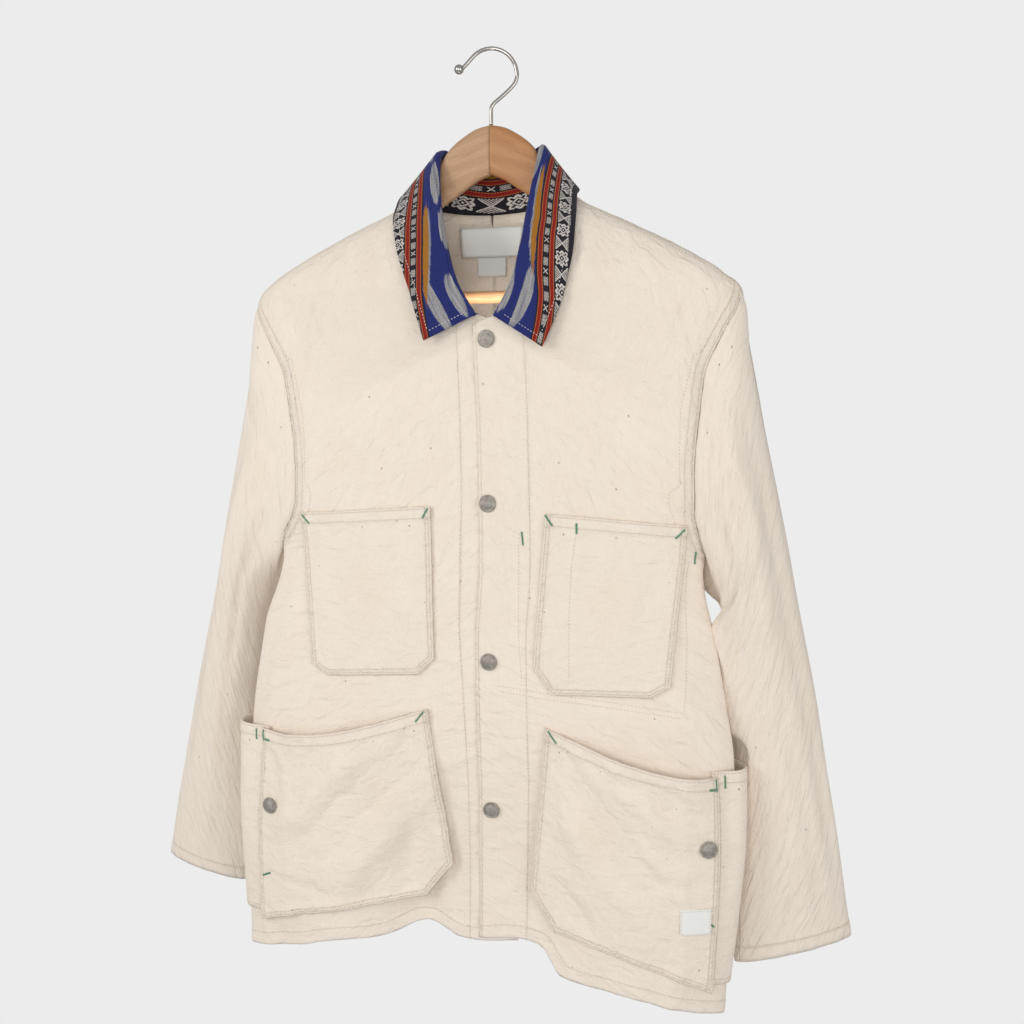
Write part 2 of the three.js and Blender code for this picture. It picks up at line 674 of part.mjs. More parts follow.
// The panel's neckline and centre edge at a row
function innerEdge(row, behind, centreTurn, hemHeight) {
  if (row <= neckRows) {
    const down = row / neckRows;
    return behind ? backNeckline(down) : panelNeckline(centreTurn, down);
  }
  const neckEnd = behind ? backNeckHeight : frontNeckHeight;
  if (row <= armholeRows) {
    const share = (row - neckRows) / (armholeRows - neckRows);
    return { turn: centreTurn, z: mix(neckEnd, armholeInnerHeight, share) };
  }
  const share = (row - armholeRows) / skirtRows;
  return { turn: centreTurn, z: mix(armholeInnerHeight, hemHeight, share) };
}

const halfGap = seamGap / 2;
const onForm = () => 0;
const cornerGap = 1.0;
const armholePull = (row) => (row < 2 || Math.abs(row - armholeRows) < 3 ? cornerGap : halfGap);
const sleeveTopPull = (column) => {
  const down = Math.min(column, 2 * armholeRows - column);
  return armholePull(down);
};

// The left front laps over the right one by its own wall and a gap
function lapLift(turn) {
  const lap = clothWall + 0.7;
  return lap * smoothStep((0.26 - turn) / 0.16);
}

function addBody() {
  for (const [name, side] of [['back_left', 1], ['back_right', -1]]) {
    const grid = panelGrid(side, true, 2, onForm);
    const drawn = drawBack(grid, { top: halfGap, start: halfGap, end: halfGap, endPull: armholePull });
    addPiece(name, wallSolid(drawn, clothWall), ecru, 0.9);
  }
  const left = panelGrid(1, false, leftEdgeTurn, lapLift);
  const edges = { top: halfGap, end: halfGap, endPull: armholePull };
  addPiece('front_left', wallSolid(drawBack(left, edges), clothWall), ecru, 0.9);
  const right = panelGrid(-1, false, rightEdgeTurn, onForm);
  addPiece('front_right', wallSolid(drawBack(right, edges), clothWall), ecru, 0.9);
}

function addSleeves() {
  for (const [name, side] of [['sleeve_left', 1], ['sleeve_right', -1]]) {
    const grid = [];
    const around = armholeRows * 2;
    for (let i = 0; i <= sleeveRings; i += 1) {
      const along = (i / sleeveRings) ** 1.15;
      const row = [];
      for (let j = 0; j < around; j += 1) {
        const round = j / around;
        if (i === 0) {
          const behind = round > 0.5;
          const down = behind ? (1 - round) * 2 : round * 2;
          row.push(armholeNode(side, behind, down, armholeMitre(side, behind, down)));
        } else {
          row.push({ point: sleevePoint(side, round, along), out: sleeveNormal(side, round, along) });
        }
      }
      grid.push(row);
    }
    const drawn = drawBack(grid, { top: halfGap, topPull: sleeveTopPull }, true);
    addPiece(name, wallSolid(drawn, clothWall, true), ecru, 0.9);
  }
}

const collarAt = smoothTable(collarLine, 'round');

// Follows the neckline from centre back (round = 0) to near the front edge (round = 1)
function neckSeam(side, round) {
  const behind = round < collarShoulder;
  const share = behind ? 1 - round / collarShoulder : (round - collarShoulder) / (1 - collarShoulder);
  const down = behind ? share : share * mix(1, collarReach, share);
  const centreTurn = side > 0 ? leftEdgeTurn : rightEdgeTurn;
  const place = behind ? backNeckline(down) : panelNeckline(centreTurn, down);
  const behindPanel = (collarWall + seamGap) * (behind ? 0 : smoothStep((share - 0.45) / 0.3));
  return onBody(side, place.turn, place.z, panelLift(side, place.turn) - clothWall - behindPanel).point;
}

// The front of the neck lies off the middle with the front edge, the back the other way
function neckDrift(y) {
  const share = clamp01(-y / 57) ** 2;
  const behind = clamp01(y / 24) ** 2;
  return frontNeckDrift * share - backDrift * behind;
}

// One cross-section of the collar, from the neck seam up over the fold to the leaf's edge
function collarSection(side, round) {
  const place = collarAt(round);
  const at = (x, y, z) => vector(side * x + neckDrift(y), y, z);
  const seam = neckSeam(side, round);
  const roll = at(place.rollX, place.rollY, place.rollZ);
  const trim = side > 0 ? leftLeaf.trim * Math.sin(Math.PI * clamp01(round / 0.9)) : 0;
  const drop = side > 0 ? leftLeaf.drop * smoothStep((round - 0.6) / 0.4) : 0;
  const edge = at(place.edgeX - trim, place.edgeY, place.edgeZ - drop);
  const stand = roll.clone().sub(seam);
  const leaf = roll.clone().sub(edge).normalize();
  const up = stand.clone().multiplyScalar(1 / collarStand).add(leaf).normalize();
  const outward = edge.clone().sub(seam).projectOnPlane(up).normalize();
  const middle = roll.clone().addScaledVector(up, -rollRadius);
  const grid = [];
  const footGap = collarFootGap * (1 + 1.2 * smoothStep((round - 0.6) / 0.2));
  const foot = seam.clone().addScaledVector(stand.clone().normalize(), footGap);
  const standTop = middle.clone().addScaledVector(outward, -rollRadius);
  const intoNeck = outward.clone().negate().projectOnPlane(standTop.clone().sub(foot).normalize()).normalize();
  for (let i = 0; i < standRows; i += 1) {
    grid.push({ point: foot.clone().lerp(standTop, i / standRows), out: intoNeck });
  }
  for (let i = 0; i <= rollRows; i += 1) {
    const angle = (i / rollRows) * Math.PI;
    const out = outward.clone().multiplyScalar(-Math.cos(angle)).addScaledVector(up, Math.sin(angle));
    grid.push({ point: middle.clone().addScaledVector(out, rollRadius), out });
  }
  const leafTop = grid[grid.length - 1].point;
  for (let i = 1; i <= leafRows; i += 1) {
    const flat = leafTop.clone().lerp(edge, i / leafRows);
    const off = (turn) => collarWall + leafGap + panelLift(side, turn);
    const point = flat.z < leafOverBody ? clearOfBody(side, flat, off) : flat;
    const along = point.clone().sub(grid[grid.length - 1].point).normalize();
    grid.push({ point, out: outward.clone().projectOnPlane(along).normalize() });
  }
  return grid;
}

function addCollar() {
  const sections = [];
  for (let j = -collarHalfColumns; j <= collarHalfColumns; j += 1) {
    sections.push(collarSection(j < 0 ? -1 : 1, Math.abs(j) / collarHalfColumns));
  }
  const grid = sections[0].map((_, i) => sections.map((section) => section[i]));
  addPiece('collar', wallSolid(grid, collarWall), blue, 0.85);
}

function panelLift(side, turn) {
  return side > 0 ? lapLift(turn) : 0;
}


// Column shares that put a grid line on each cut corner
function cutShares(count, clipWide) {
  const shares = [0];
  for (let j = 0; j <= count; j += 1) shares.push(mix(clipWide, 1 - clipWide, j / count));
  return [...shares, 1];
}

function pocketGrid(shares, rows, place) {
  const grid = [];
  for (let i = 0; i <= rows; i += 1) grid.push(shares.map((share) => place(share, i / rows)));
  return grid;
}

function addChestPockets() {
  for (const pocket of chestPockets) {
    const { side } = pocket;
    const grid = pocketGrid(cutShares(7, pocket.clipWide), 6, (share, down) => {
      const cut = Math.max(0, 1 - share / pocket.clipWide) * pocket.inClip
        + Math.max(0, 1 - (1 - share) / pocket.clipWide) * pocket.outClip;
      const topX = mix(pocket.inTopX, pocket.outTopX, share);
      const bottomX = mix(pocket.inBottomX, pocket.outBottomX, share);
      const topZ = mix(pocket.inTopZ, pocket.outTopZ, share);
      const bottomZ = mix(pocket.inBottomZ, pocket.outBottomZ, share) + cut;
      const z = mix(topZ, bottomZ, down);
      const turn = turnAtX(side, mix(topX, bottomX, down), z);
      return onBody(side, turn, z, panelLift(side, turn) + onPanel);
    });
    addPiece(pocket.name, wallSolid(grid, clothWall), ecru, 0.9);
  }
}

// How far a lower pocket stands off the body: it gapes at the mouth, and rides up onto the
// side pocket at its side edge
function lowerPocketLift(pocket, turn, z) {
  const across = clamp01((turn - pocket.inTurn) / (pocket.sideTurn - pocket.inTurn));
  const mouth = clamp01((z - pocket.sideTopZ) / pocketMouthDepth + 1);
  const gape = pocket.gape * Math.sin(Math.PI * across) * mouth ** 2;
  const rideUp = smoothStep((turn - pocket.sideTurn + pocketLap + 0.07) / 0.06);
  const onSide = (clothWall + 0.8 + sidePocketGap) * rideUp;
  const bridging = pocketBridging * Math.max(0, -foldDepth(pocket.side, turn, z));
  return panelLift(pocket.side, turn) + onPanel + gape + onSide + bridging;
}

function lowerPocketNode(pocket, share, down) {
  const { side } = pocket;
  const cut = Math.max(0, 1 - share / pocket.clipWide) * pocket.inClip;
  const topZ = mix(pocket.inTopZ, pocket.sideTopZ, share) - pocket.sag * Math.sin(Math.PI * share);
  const bottomZ = mix(pocket.inBottomZ, pocket.sideBottomZ, share) + cut;
  const z = mix(topZ, bottomZ, down);
  const innerTurn = turnAtX(side, mix(pocket.inTopX, pocket.inBottomX, down), z);
  const turn = mix(innerTurn, pocket.sideTurn, share);
  return onBody(side, turn, z, lowerPocketLift(pocket, turn, z));
}

function addLowerPockets() {
  for (const pocket of lowerPockets) {
    const grid = pocketGrid(cutShares(9, pocket.clipWide), 8, (share, down) => (
      lowerPocketNode(pocket, share, down)
    ));
    addPiece(pocket.name, wallSolid(grid, clothWall), ecru, 0.9);
  }
  for (const pocket of sidePockets) {
    const shares = Array.from({ length: 13 }, (_, j) => j / 12);
    const grid = pocketGrid(shares, 6, (share, down) => {
      const turn = mix(pocket.from, pocket.to, share);
      const z = mix(pocket.topZ, mix(pocket.frontBottomZ, pocket.backBottomZ, share), down);
      return onBody(pocket.side, turn, z, panelLift(pocket.side, turn) + sidePocketLift(pocket, turn, z));
    });
    addPiece(pocket.name, wallSolid(grid, clothWall), ecru, 0.9);
  }
}

function backTurnAtX(x, z) {
  let low = 1.4;
  let high = 2.6;
  for (let i = 0; i < 30; i += 1) {
    const middle = (low + high) / 2;
    if (bodyPoint(1, middle, z).x > x) low = middle;
    else high = middle;
  }
  return (low + high) / 2;
}

function addLabels() {
  const shares = [0, 0.2, 0.4, 0.6, 0.8, 1];
  for (const [name, label] of [['neck_label', neckLabel], ['care_label', careLabel]]) {
    const grid = pocketGrid(shares, 3, (share, down) => {
      const z = mix(label.topZ, label.bottomZ, down);
      const turn = backTurnAtX(mix(label.right, label.left, share), z);
      return onBody(1, turn, z, -clothWall - neckLabelGap);
    });
    addPiece(name, wallSolid(grid, labelWall), white, 0.8);
  }
  const pocket = lowerPockets[1];
  const grid = pocketGrid(shares, 3, (share, down) => {
    const z = mix(pocketLabel.topZ, pocketLabel.bottomZ, down);
    const turn = turnAtX(1, mix(pocketLabel.left, pocketLabel.right, share), z);
    return onBody(1, turn, z, lowerPocketLift(pocket, turn, z) + labelGap + labelWall);
  });
  addPiece('pocket_label', wallSolid(grid, labelWall), white, 0.8);
}

// A tack button: flat back, rounded rim, low dome
function buttonGeometry() {
  const rim = [
    [0, 0], [0.86, 0], [1, 0.2], [1, 0.5], [0.94, 0.68], [0.84, 0.62], [0.6, 0.84], [0.3, 0.96], [0, 1],
  ];
  const profile = rim.map(([out, up]) => new THREE.Vector2(out * buttonRadius, up * buttonHeight));
  const lathe = mergeVertices(new THREE.LatheGeometry(profile, 14).deleteAttribute('normal').deleteAttribute('uv'));
  return solidFromFaces(Array.from(lathe.attributes.position.array), Array.from(lathe.index.array));
}

function addButton(name, side, turn, z, lift) {
  const seat = onBody(side, turn, z, lift);
  addPiece(name, buttonGeometry(), metalGrey, 0.4, 0.9);
  const mesh = jacket.children[jacket.children.length - 1];
  mesh.position.copy(seat.point);
  mesh.quaternion.setFromUnitVectors(vector(0, 1, 0), seat.out);
}

function addButtons() {
  frontButtons.forEach((button, index) => {
    const turn = turnAtX(1, button.x, button.z);
    addButton(`button_${index + 1}`, 1, turn, button.z, lapLift(turn) + buttonGap);
  });
  for (const button of pocketButtons) {
    const pocket = lowerPockets.find((entry) => entry.side === button.side);
    const lift = lowerPocketLift(pocket, button.turn, button.z) + pocketButtonGap;
    addButton(button.name, button.side, button.turn, button.z, lift);
  }
}

// The shoulder's top line from below: its height and its place front to back
function shoulderLine(x) {
  let low = -235;
  let high = -116;
  for (let i = 0; i < 30; i += 1) {
    const middle = (low + high) / 2;
    if (bodyPoint(1, 1, middle).x > x) low = middle;
    else high = middle;
  }
  return bodyPoint(1, 1, (low + high) / 2);
}

// One cross-section of a hanger arm, a rounded rectangle
function armSection(side, x, y, top, bottom) {
  const points = [];
  for (let j = 0; j < armSides; j += 1) {
    const angle = ((j + 0.5) / armSides) * 2 * Math.PI;
    const across = Math.sign(Math.cos(angle)) * Math.abs(Math.cos(angle)) ** 0.5;
    const up = Math.sign(Math.sin(angle)) * Math.abs(Math.sin(angle)) ** 0.5;
    points.push(vector(side * x, y + (across * hangerThick) / 2, (top + bottom) / 2 + (up * (top - bottom)) / 2));
  }
  return points;
}

function addHanger() {
  const lowest = shoulderLine(armEnd);
  const lastNeck = hangerNeck[hangerNeck.length - 1];
  const socket = new THREE.CylinderGeometry(barRadius + seamGap, barRadius + seamGap, 2 * barSocketEnd, 20);
  for (const [name, side] of [['hanger_arm_left', 1], ['hanger_arm_right', -1]]) {
    const rings = hangerNeck.map((station) => {
      const x = Math.max(halfGap, station.x);
      return armSection(side, x, (lowest.y * x * x) / armEnd ** 2, station.top, station.bottom);
    });
    for (const x of [...armStations, armEnd]) {
      const line = shoulderLine(x);
      const top = line.z - clothWall - armClearance - ridgeDrop * (x / armEnd) ** 4;
      const share = (x - lastNeck.x) / (armEnd - lastNeck.x);
      const depth = mix(lastNeck.top - lastNeck.bottom, armDepthAtEnd, share);
      rings.push(armSection(side, x, line.y, top, top - depth));
    }
    const bar = socket.clone().rotateZ(90 * degrees).translate(0, barY(), barHeight);
    const arm = toManifold(loftSolid(rings)).subtract(toManifold(bar));
    addPiece(name, fromManifold(arm), paleWood, 0.5);
  }
  const length = 2 * (barSocketEnd - seamGap);
  const bar = new THREE.CylinderGeometry(barRadius, barRadius, length, 20).rotateZ(90 * degrees);
  addPiece('hanger_bar', bar.translate(0, barY(), barHeight), paleWood, 0.5);
}

const barY = () => shoulderLine(200).y;

function addHook() {
  const arc = [];
  for (let i = 0; i <= hookArcSteps; i += 1) {
    const angle = mix(hookArc[0], hookArc[1], i / hookArcSteps) * degrees;
    arc.push([hookMiddle[0] + hookRadius * Math.cos(angle), hookMiddle[1] + hookRadius * Math.sin(angle)]);
  }
  const turned = ([across, z]) => vector(across * Math.cos(hookTurn * degrees), across * Math.sin(hookTurn * degrees), z);
  const path = new THREE.CatmullRomCurve3([...hookStem, ...arc, ...hookTip].map(turned), false, 'centripetal');
  const sideways = vector(-Math.sin(hookTurn * degrees), Math.cos(hookTurn * degrees), 0);
  const rings = [];
  for (let i = 0; i <= hookSteps; i += 1) {
    const share = i / hookSteps;
    const centre = path.getPointAt(share);
    const inPlane = path.getTangentAt(share).cross(sideways).normalize();
    rings.push(Array.from({ length: wireSides }, (_, j) => {
      const angle = (j / wireSides) * 2 * Math.PI;
      return centre.clone()
        .addScaledVector(inPlane, wireRadius * Math.cos(angle))
        .addScaledVector(sideways, wireRadius * Math.sin(angle));
    }));
  }
  const tip = path.getPointAt(1);
  const ball = new THREE.SphereGeometry(hookBallRadius, 12, 8).translate(tip.x, tip.y, tip.z);
  addPiece('hanger_hook', fromManifold(toManifold(loftSolid(rings)).add(toManifold(ball))), chrome, 0.15, 1);
}

addBody();
addSleeves();
addCollar();
addChestPockets();
addLowerPockets();
addLabels();
addButtons();
addHanger();
addHook();

export default jacket;
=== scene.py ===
"""Chore jacket of undyed cotton with a patterned collar, on a wooden hanger.

Lengths in the tables are millimetres in the row frame: +Z up, +X toward the wearer's left,
-Y toward the front. Meshes are made in metres.
"""

import math

import bpy
import numpy as np
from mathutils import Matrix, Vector


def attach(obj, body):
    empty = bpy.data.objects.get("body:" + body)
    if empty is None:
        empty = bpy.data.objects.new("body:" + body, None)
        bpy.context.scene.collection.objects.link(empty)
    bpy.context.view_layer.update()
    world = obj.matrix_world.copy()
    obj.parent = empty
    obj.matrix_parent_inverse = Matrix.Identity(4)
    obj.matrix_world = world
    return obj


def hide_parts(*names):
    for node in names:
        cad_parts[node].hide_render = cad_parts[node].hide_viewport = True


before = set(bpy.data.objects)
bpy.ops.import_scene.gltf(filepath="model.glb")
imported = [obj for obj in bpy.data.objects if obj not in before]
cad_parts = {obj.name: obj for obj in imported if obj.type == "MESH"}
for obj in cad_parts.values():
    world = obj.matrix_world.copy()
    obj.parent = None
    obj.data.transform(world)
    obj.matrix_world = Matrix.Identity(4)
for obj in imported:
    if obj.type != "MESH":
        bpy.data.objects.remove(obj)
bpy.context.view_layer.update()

MM = 0.001
DEGREES = math.pi / 180
# One unit of the cloth's own places, in millimetres
PLACE_UNIT = 100.0

# Cloth. LAYER is how far the outside of a pocket's cloth stands off its panel's
CLOTH_WALL = 1.4
COLLAR_WALL = 1.6
LABEL_WALL = 0.9
PANEL_WALL = 1.6
LAYER = 2.8
LAP_GAP = 0.7
LAP_END_TURN = 0.26
LAP_FADE = 0.16
SIDE_SEAM_TURN = 1.05
BACK_NECK = -139.0
SHOULDER = -213.0
FRONT_NECK = -241.0
UNDERARM = -450.0
FRONT_HEM = -800.0
BACK_HEM = -822.0
SIDE_HEM = {1: -858.0, -1: -852.0}
EDGE_TURN = {1: -0.03, -1: -0.045}
BODY_TWIST = 3.5
TWIST_HEIGHT = 120.0
BACK_DRIFT = 8.0
TUCK_FROM = 0.55
TUCK_FADE = 0.75
FOLD_GROWTH = 1.6
BACK_CHEST_TURN = 1.3
FRONT_CHEST_TURN = 0.7
SHOULDER_FOLLOW_ROWS = 3.5
NECK_ROWS = 6
ARMHOLE_ROWS = 10
SKIRT_ROWS = 12
ARMHOLE_INNER = -440.0

BODY_RINGS = (
    ("z", "half", "front", "back", "tuck", "sweep", "drift", "aside", "square"),
    (
        (-116, 59, -14, 21, 0.0, 0, 0, 0, 0.12),
        (-126, 74, -20, 23, 0.0, 0, 0, 0, 0.12),
        (-136, 89, -28, 25, 0.0, 1, 1, 0, 0.12),
        (-155, 130, -37, 27, 0.0, 4, 4, 0, 0.12),
        (-180, 180, -44, 31, 0.0, 7, 7, 0, 0.12),
        (-198, 209, -48, 32, 0.0, 9, 9, 0, 0.12),
        (-213, 225, -50, 33, 0.0, 9, 11, 0, 0.12),
        (-235, 231, -53, 34, 0.0, 9, 13, 0, 0.12),
        (-310, 233, -58, 35, 0.0, 7, 15, 0, 0.12),
        (-380, 225, -61, 35, 0.04, 4, 17, 0, 0.13),
        (-450, 209, -64, 34, 0.12, 0, 19, -1, 0.15),
        (-520, 226, -66, 33, 0.17, 0, 21, -5, 0.19),
        (-620, 241, -67, 31, 0.21, 0, 24, -5, 0.25),
        (-720, 246, -66, 30, 0.22, 0, 26, -8, 0.27),
        (-860, 243, -64, 30, 0.21, 0, 29, -13, 0.27),
    ),
)
# The long folds below the chest: turn, top, bottom, spread and depth out of the cloth
BODY_FOLDS = (
    (0.05, -560, -860, 0.10, -11),
    (0.33, -560, -860, 0.16, 9),
    (-0.14, -600, -860, 0.10, -19),
    (-0.36, -560, -860, 0.16, 8),
    (1.70, -420, -840, 0.12, -9),
    (-1.62, -460, -840, 0.13, -10),
)
FRONT_NECKLINE = (
    ("down", "turn", "z"),
    (
        (0.0, 0.85, -120), (0.15, 0.62, -130), (0.35, 0.33, -156),
        (0.6, 0.19, -193), (0.85, 0.09, -225), (1.0, 0.0, -241),
    ),
)
FRONT_ARMHOLE = (
    ("down", "turn", "z"),
    (
        (0.0, 0.975, -213), (0.14, 0.74, -240), (0.32, 0.575, -288), (0.52, 0.545, -342),
        (0.72, 0.575, -395), (0.87, 0.72, -432), (1.0, 1.05, -450),
    ),
)
BACK_ARMHOLE = (
    ("down", "turn", "z"),
    (
        (0.0, 0.975, -213), (0.14, 1.20, -240), (0.32, 1.36, -288), (0.52, 1.42, -342),
        (0.72, 1.40, -395), (0.87, 1.28, -432), (1.0, 1.05, -450),
    ),
)
FRONT_HEM_LINE = {
    1: (
        ("turn", "z"),
        (
            (-0.03, -802), (0.05, -797), (0.092, -799), (0.114, -812), (0.136, -825), (0.18, -828),
            (0.27, -832), (0.375, -838), (0.52, -846), (0.8, -852), (1.05, -858),
        ),
    ),
    -1: (
        ("turn", "z"),
        (
            (-0.045, -801), (0.07, -806), (0.093, -802), (0.136, -795), (0.156, -797),
            (0.196, -806), (0.235, -811), (0.326, -815), (0.453, -829), (0.66, -843), (1.05, -852),
        ),
    ),
}
SLEEVE_COLUMNS = ("along", "outX", "outY", "outZ", "inX", "inY", "inZ", "deep", "follow")
SLEEVES = {
    1: (
        SLEEVE_COLUMNS,
        (
            (0.00, 226, -15, -213, 203, -5, -450, 38, 1.0),
            (0.08, 232, -11, -262, 209, -3, -461, 44, 0.6),
            (0.17, 243, -2, -322, 215, -1, -474, 48, 0.25),
            (0.27, 257, 5, -382, 215, 1, -490, 50, 0.06),
            (0.37, 270, 10, -440, 202, 3, -512, 48, 0.0),
            (0.48, 282, 15, -500, 199, 6, -544, 42, 0.0),
            (0.62, 298, 21, -580, 207, 9, -600, 35, 0.0),
            (0.76, 312, 26, -660, 226, 8, -672, 28, 0.0),
            (0.89, 323, 31, -730, 233, 4, -748, 21, 0.0),
            (1.00, 333, 35, -790, 233, -1, -814, 14, 0.0),
        ),
    ),
    -1: (
        SLEEVE_COLUMNS,
        (
            (0.00, 226, -15, -213, 203, -5, -450, 38, 1.0),
            (0.08, 233, -12, -262, 209, -5, -461, 44, 0.6),
            (0.17, 245, -9, -322, 216, -4, -474, 48, 0.25),
            (0.27, 258, -8, -384, 222, -3, -490, 50, 0.06),
            (0.37, 272, -6, -442, 228, -3, -512, 48, 0.0),
            (0.48, 288, -4, -502, 234, -2, -544, 43, 0.0),
            (0.62, 311, -3, -582, 243, -1, -600, 36, 0.0),
            (0.76, 332, -2, -662, 252, 0, -672, 29, 0.0),
            (0.89, 350, -1, -732, 261, 0, -748, 21, 0.0),
            (1.00, 363, 0, -790, 271, 0, -808, 14, 0.0),
        ),
    ),
}
SLEEVE_CLEARANCE = 1.2
COLLAR_LINE = (
    ("round", "rollX", "rollY", "rollZ", "edgeX", "edgeY", "edgeZ"),
    (
        (0.0, 0, 22, -91, 0, 40, -151),
        (0.18, 27, 19, -88, 40, 37, -146),
        (0.34, 45, 8, -82, 76, 24, -129),
        (0.46, 47, -6, -86, 86, 0, -123),
        (0.58, 43, -20, -116, 87, -26, -140),
        (0.72, 36, -36, -158, 83, -46, -170),
        (0.87, 25, -48, -202, 70, -57, -213),
        (1.0, 8, -57, -233, 54, -65, -255),
    ),
)
ROLL_RADIUS = 3.2
COLLAR_SHOULDER = 0.5
COLLAR_REACH = 0.92
COLLAR_STAND = 38.0
BEHIND_FRONT = 2.1
FRONT_NECK_DRIFT = 13.5
LEFT_LEAF_TRIM = 4.0
LEFT_LEAF_DROP = 6.0
CHEST_POCKETS = {
    "chest_pocket_right": dict(
        side=-1, in_top=-35, out_top=-166, in_bottom=-31, out_bottom=-153,
        in_top_z=-400, out_top_z=-411, in_bottom_z=-551, out_bottom_z=-562,
        clip=0.13, in_clip=14, out_clip=11,
    ),
    "chest_pocket_left": dict(
        side=1, in_top=69, out_top=188, in_bottom=60, out_bottom=178,
        in_top_z=-403, out_top_z=-411, in_bottom_z=-562, out_bottom_z=-560,
        clip=0.14, in_clip=23, out_clip=10,
    ),
}
LOWER_POCKETS = {
    "lower_pocket_right": dict(
        side=-1, in_top=-37, in_bottom=-17, in_turn=0.15, side_turn=0.62,
        in_top_z=-583, side_top_z=-618, in_bottom_z=-761, side_bottom_z=-813,
        clip=0.11, in_clip=30, gape=7, sag=14,
    ),
    "lower_pocket_left": dict(
        side=1, in_top=71, in_bottom=57, in_turn=0.12, side_turn=0.57,
        in_top_z=-591, side_top_z=-627, in_bottom_z=-777, side_bottom_z=-826,
        clip=0.10, in_clip=31, gape=12, sag=12,
    ),
}
SIDE_POCKETS = {
    "side_pocket_right": dict(
        side=-1, start=0.592, end=1.36, top=-617, front_bottom=-804, back_bottom=-812,
    ),
    "side_pocket_left": dict(
        side=1, start=0.545, end=1.36, top=-623, front_bottom=-818, back_bottom=-828,
    ),
}
CHEST_MOUTH = 11.0
LOWER_MOUTH = 12.0
SIDE_MOUTH = 11.0
POCKET_EDGE_ROWS = (2.2, 5.2)
# The front buttons' x and z, and the pocket buttons' side, turn and z
FRONT_BUTTONS = ((15, -254), (18, -396), (20, -536), (20, -674))
POCKET_BUTTONS = {"pocket_button_right": (-1, 0.55, -692), "pocket_button_left": (1, 0.51, -690)}
POCKET_BUTTON_GAP = 1.1


def smooth(value):
    share = np.clip(value, 0.0, 1.0)
    return share * share * (3 - 2 * share)


def mix(low, high, share):
    return low + (high - low) * share


def smooth_table(table):
    """Joins the rows of a table by smooth curves that never overshoot a row."""
    names, rows = table
    data = np.array(sorted(rows), float)
    keys, values = data[:, 0], data[:, 1:]
    steps = np.diff(values, axis=0) / np.diff(keys)[:, None]
    slopes = np.zeros_like(values)
    slopes[0], slopes[-1] = steps[0], steps[-1]
    before, after = steps[:-1], steps[1:]
    product = before * after
    total = np.where(product > 0, before + after, 1.0)
    slopes[1:-1] = np.where(product > 0, 2 * product / total, 0.0)

    def at(value):
        limited = np.clip(np.asarray(value, float), keys[0], keys[-1])
        i = np.clip(np.searchsorted(keys, limited, side="right") - 1, 0, len(keys) - 2)
        width = keys[i + 1] - keys[i]
        t = ((limited - keys[i]) / width)[..., None]
        rise = t * t * (3 - 2 * t)
        bend = t * (1 - t) * ((1 - t) * slopes[i] - t * slopes[i + 1]) * width[..., None]
        result = mix(values[i], values[i + 1], rise) + bend
        return {name: result[..., k] for k, name in enumerate(names[1:])}

    return at


body_ring = smooth_table(BODY_RINGS)
neckline = smooth_table(FRONT_NECKLINE)
front_armhole = smooth_table(FRONT_ARMHOLE)
back_armhole = smooth_table(BACK_ARMHOLE)
sleeve_tables = {side: smooth_table(table) for side, table in SLEEVES.items()}
collar_at = smooth_table(COLLAR_LINE)
hem_lines = {side: smooth_table(table) for side, table in FRONT_HEM_LINE.items()}


def fold_depth(side, turn, z):
    """How far the long folds bring the body's cloth forward."""
    depth = 0.0
    for place, top, bottom, spread, out in BODY_FOLDS:
        apart = side * turn - place
        apart = apart - 4 * np.round(apart / 4)
        reach = smooth(((top - z) / (top - bottom)) * FOLD_GROWTH)
        depth = depth + out * reach * np.exp(-((apart / spread) ** 2))
    return depth


def body_point(side, turn, z):
    """The body's cloth: turn 0 at centre front, 1 at the side, 2 at centre back."""
    turn, z = np.broadcast_arrays(np.asarray(turn, float), np.asarray(z, float))
    ring = body_ring(z)
    angle = (1 - turn) * 90 * DEGREES
    across = np.cos(angle) * (1 + ring["square"] * np.sin(angle) ** 2)
    forward = np.sin(angle) * (1 + ring["square"] * np.cos(angle) ** 2)
    drawn_in = 1 - ring["tuck"] * smooth((TUCK_FROM - forward) / TUCK_FADE)
    depth = (ring["back"] - ring["front"]) / 2
    drift = np.where(forward > 0, ring["drift"], -BACK_DRIFT) * forward ** 2
    x = side * ring["half"] * across * drawn_in + drift + ring["aside"]
    y = (ring["front"] + ring["back"]) / 2 - forward * (depth + fold_depth(side, turn, z))
    y = y - ring["sweep"] * across ** 2
    twist = BODY_TWIST * DEGREES * smooth((SHOULDER - z) / TWIST_HEIGHT)
    cos, sin = np.cos(twist), np.sin(twist)
    return np.stack([x * cos - y * sin, x * sin + y * cos, z], -1)


def unit(vectors):
    return vectors / np.maximum(np.linalg.norm(vectors, axis=-1, keepdims=True), 1e-9)


def body_normal(side, turn, z):
    """The way out of the body's cloth, from the slopes across and down it."""
    turn_step, z_step = 0.004, 0.5
    turned = body_point(side, turn + turn_step, z) - body_point(side, turn - turn_step, z)
    down = body_point(side, turn, z - z_step) - body_point(side, turn, z + z_step)
    return unit(np.cross(turned, down)) * -side


def lap_lift(side, turn):
    """How far the left front stands off, where it laps over the right one."""
    if side < 0:
        return np.zeros_like(np.asarray(turn, float))
    return (PANEL_WALL + LAP_GAP) * smooth((LAP_END_TURN - turn) / LAP_FADE)


def turn_at_x(side, x, z, low=-0.2, high=0.8):
    """The turn, between low and high, where the body's cloth is at x: by halving the span."""
    way = 1 if high < 1 else -1
    x, z = np.broadcast_arrays(np.asarray(x, float), np.asarray(z, float))
    low = np.full(x.shape, float(low))
    high = np.full(x.shape, float(high))
    for _ in range(26):
        middle = (low + high) / 2
        short = way * side * body_point(side, middle, z)[..., 0] < way * side * x
        low = np.where(short, middle, low)
        high = np.where(short, high, middle)
    return (low + high) / 2


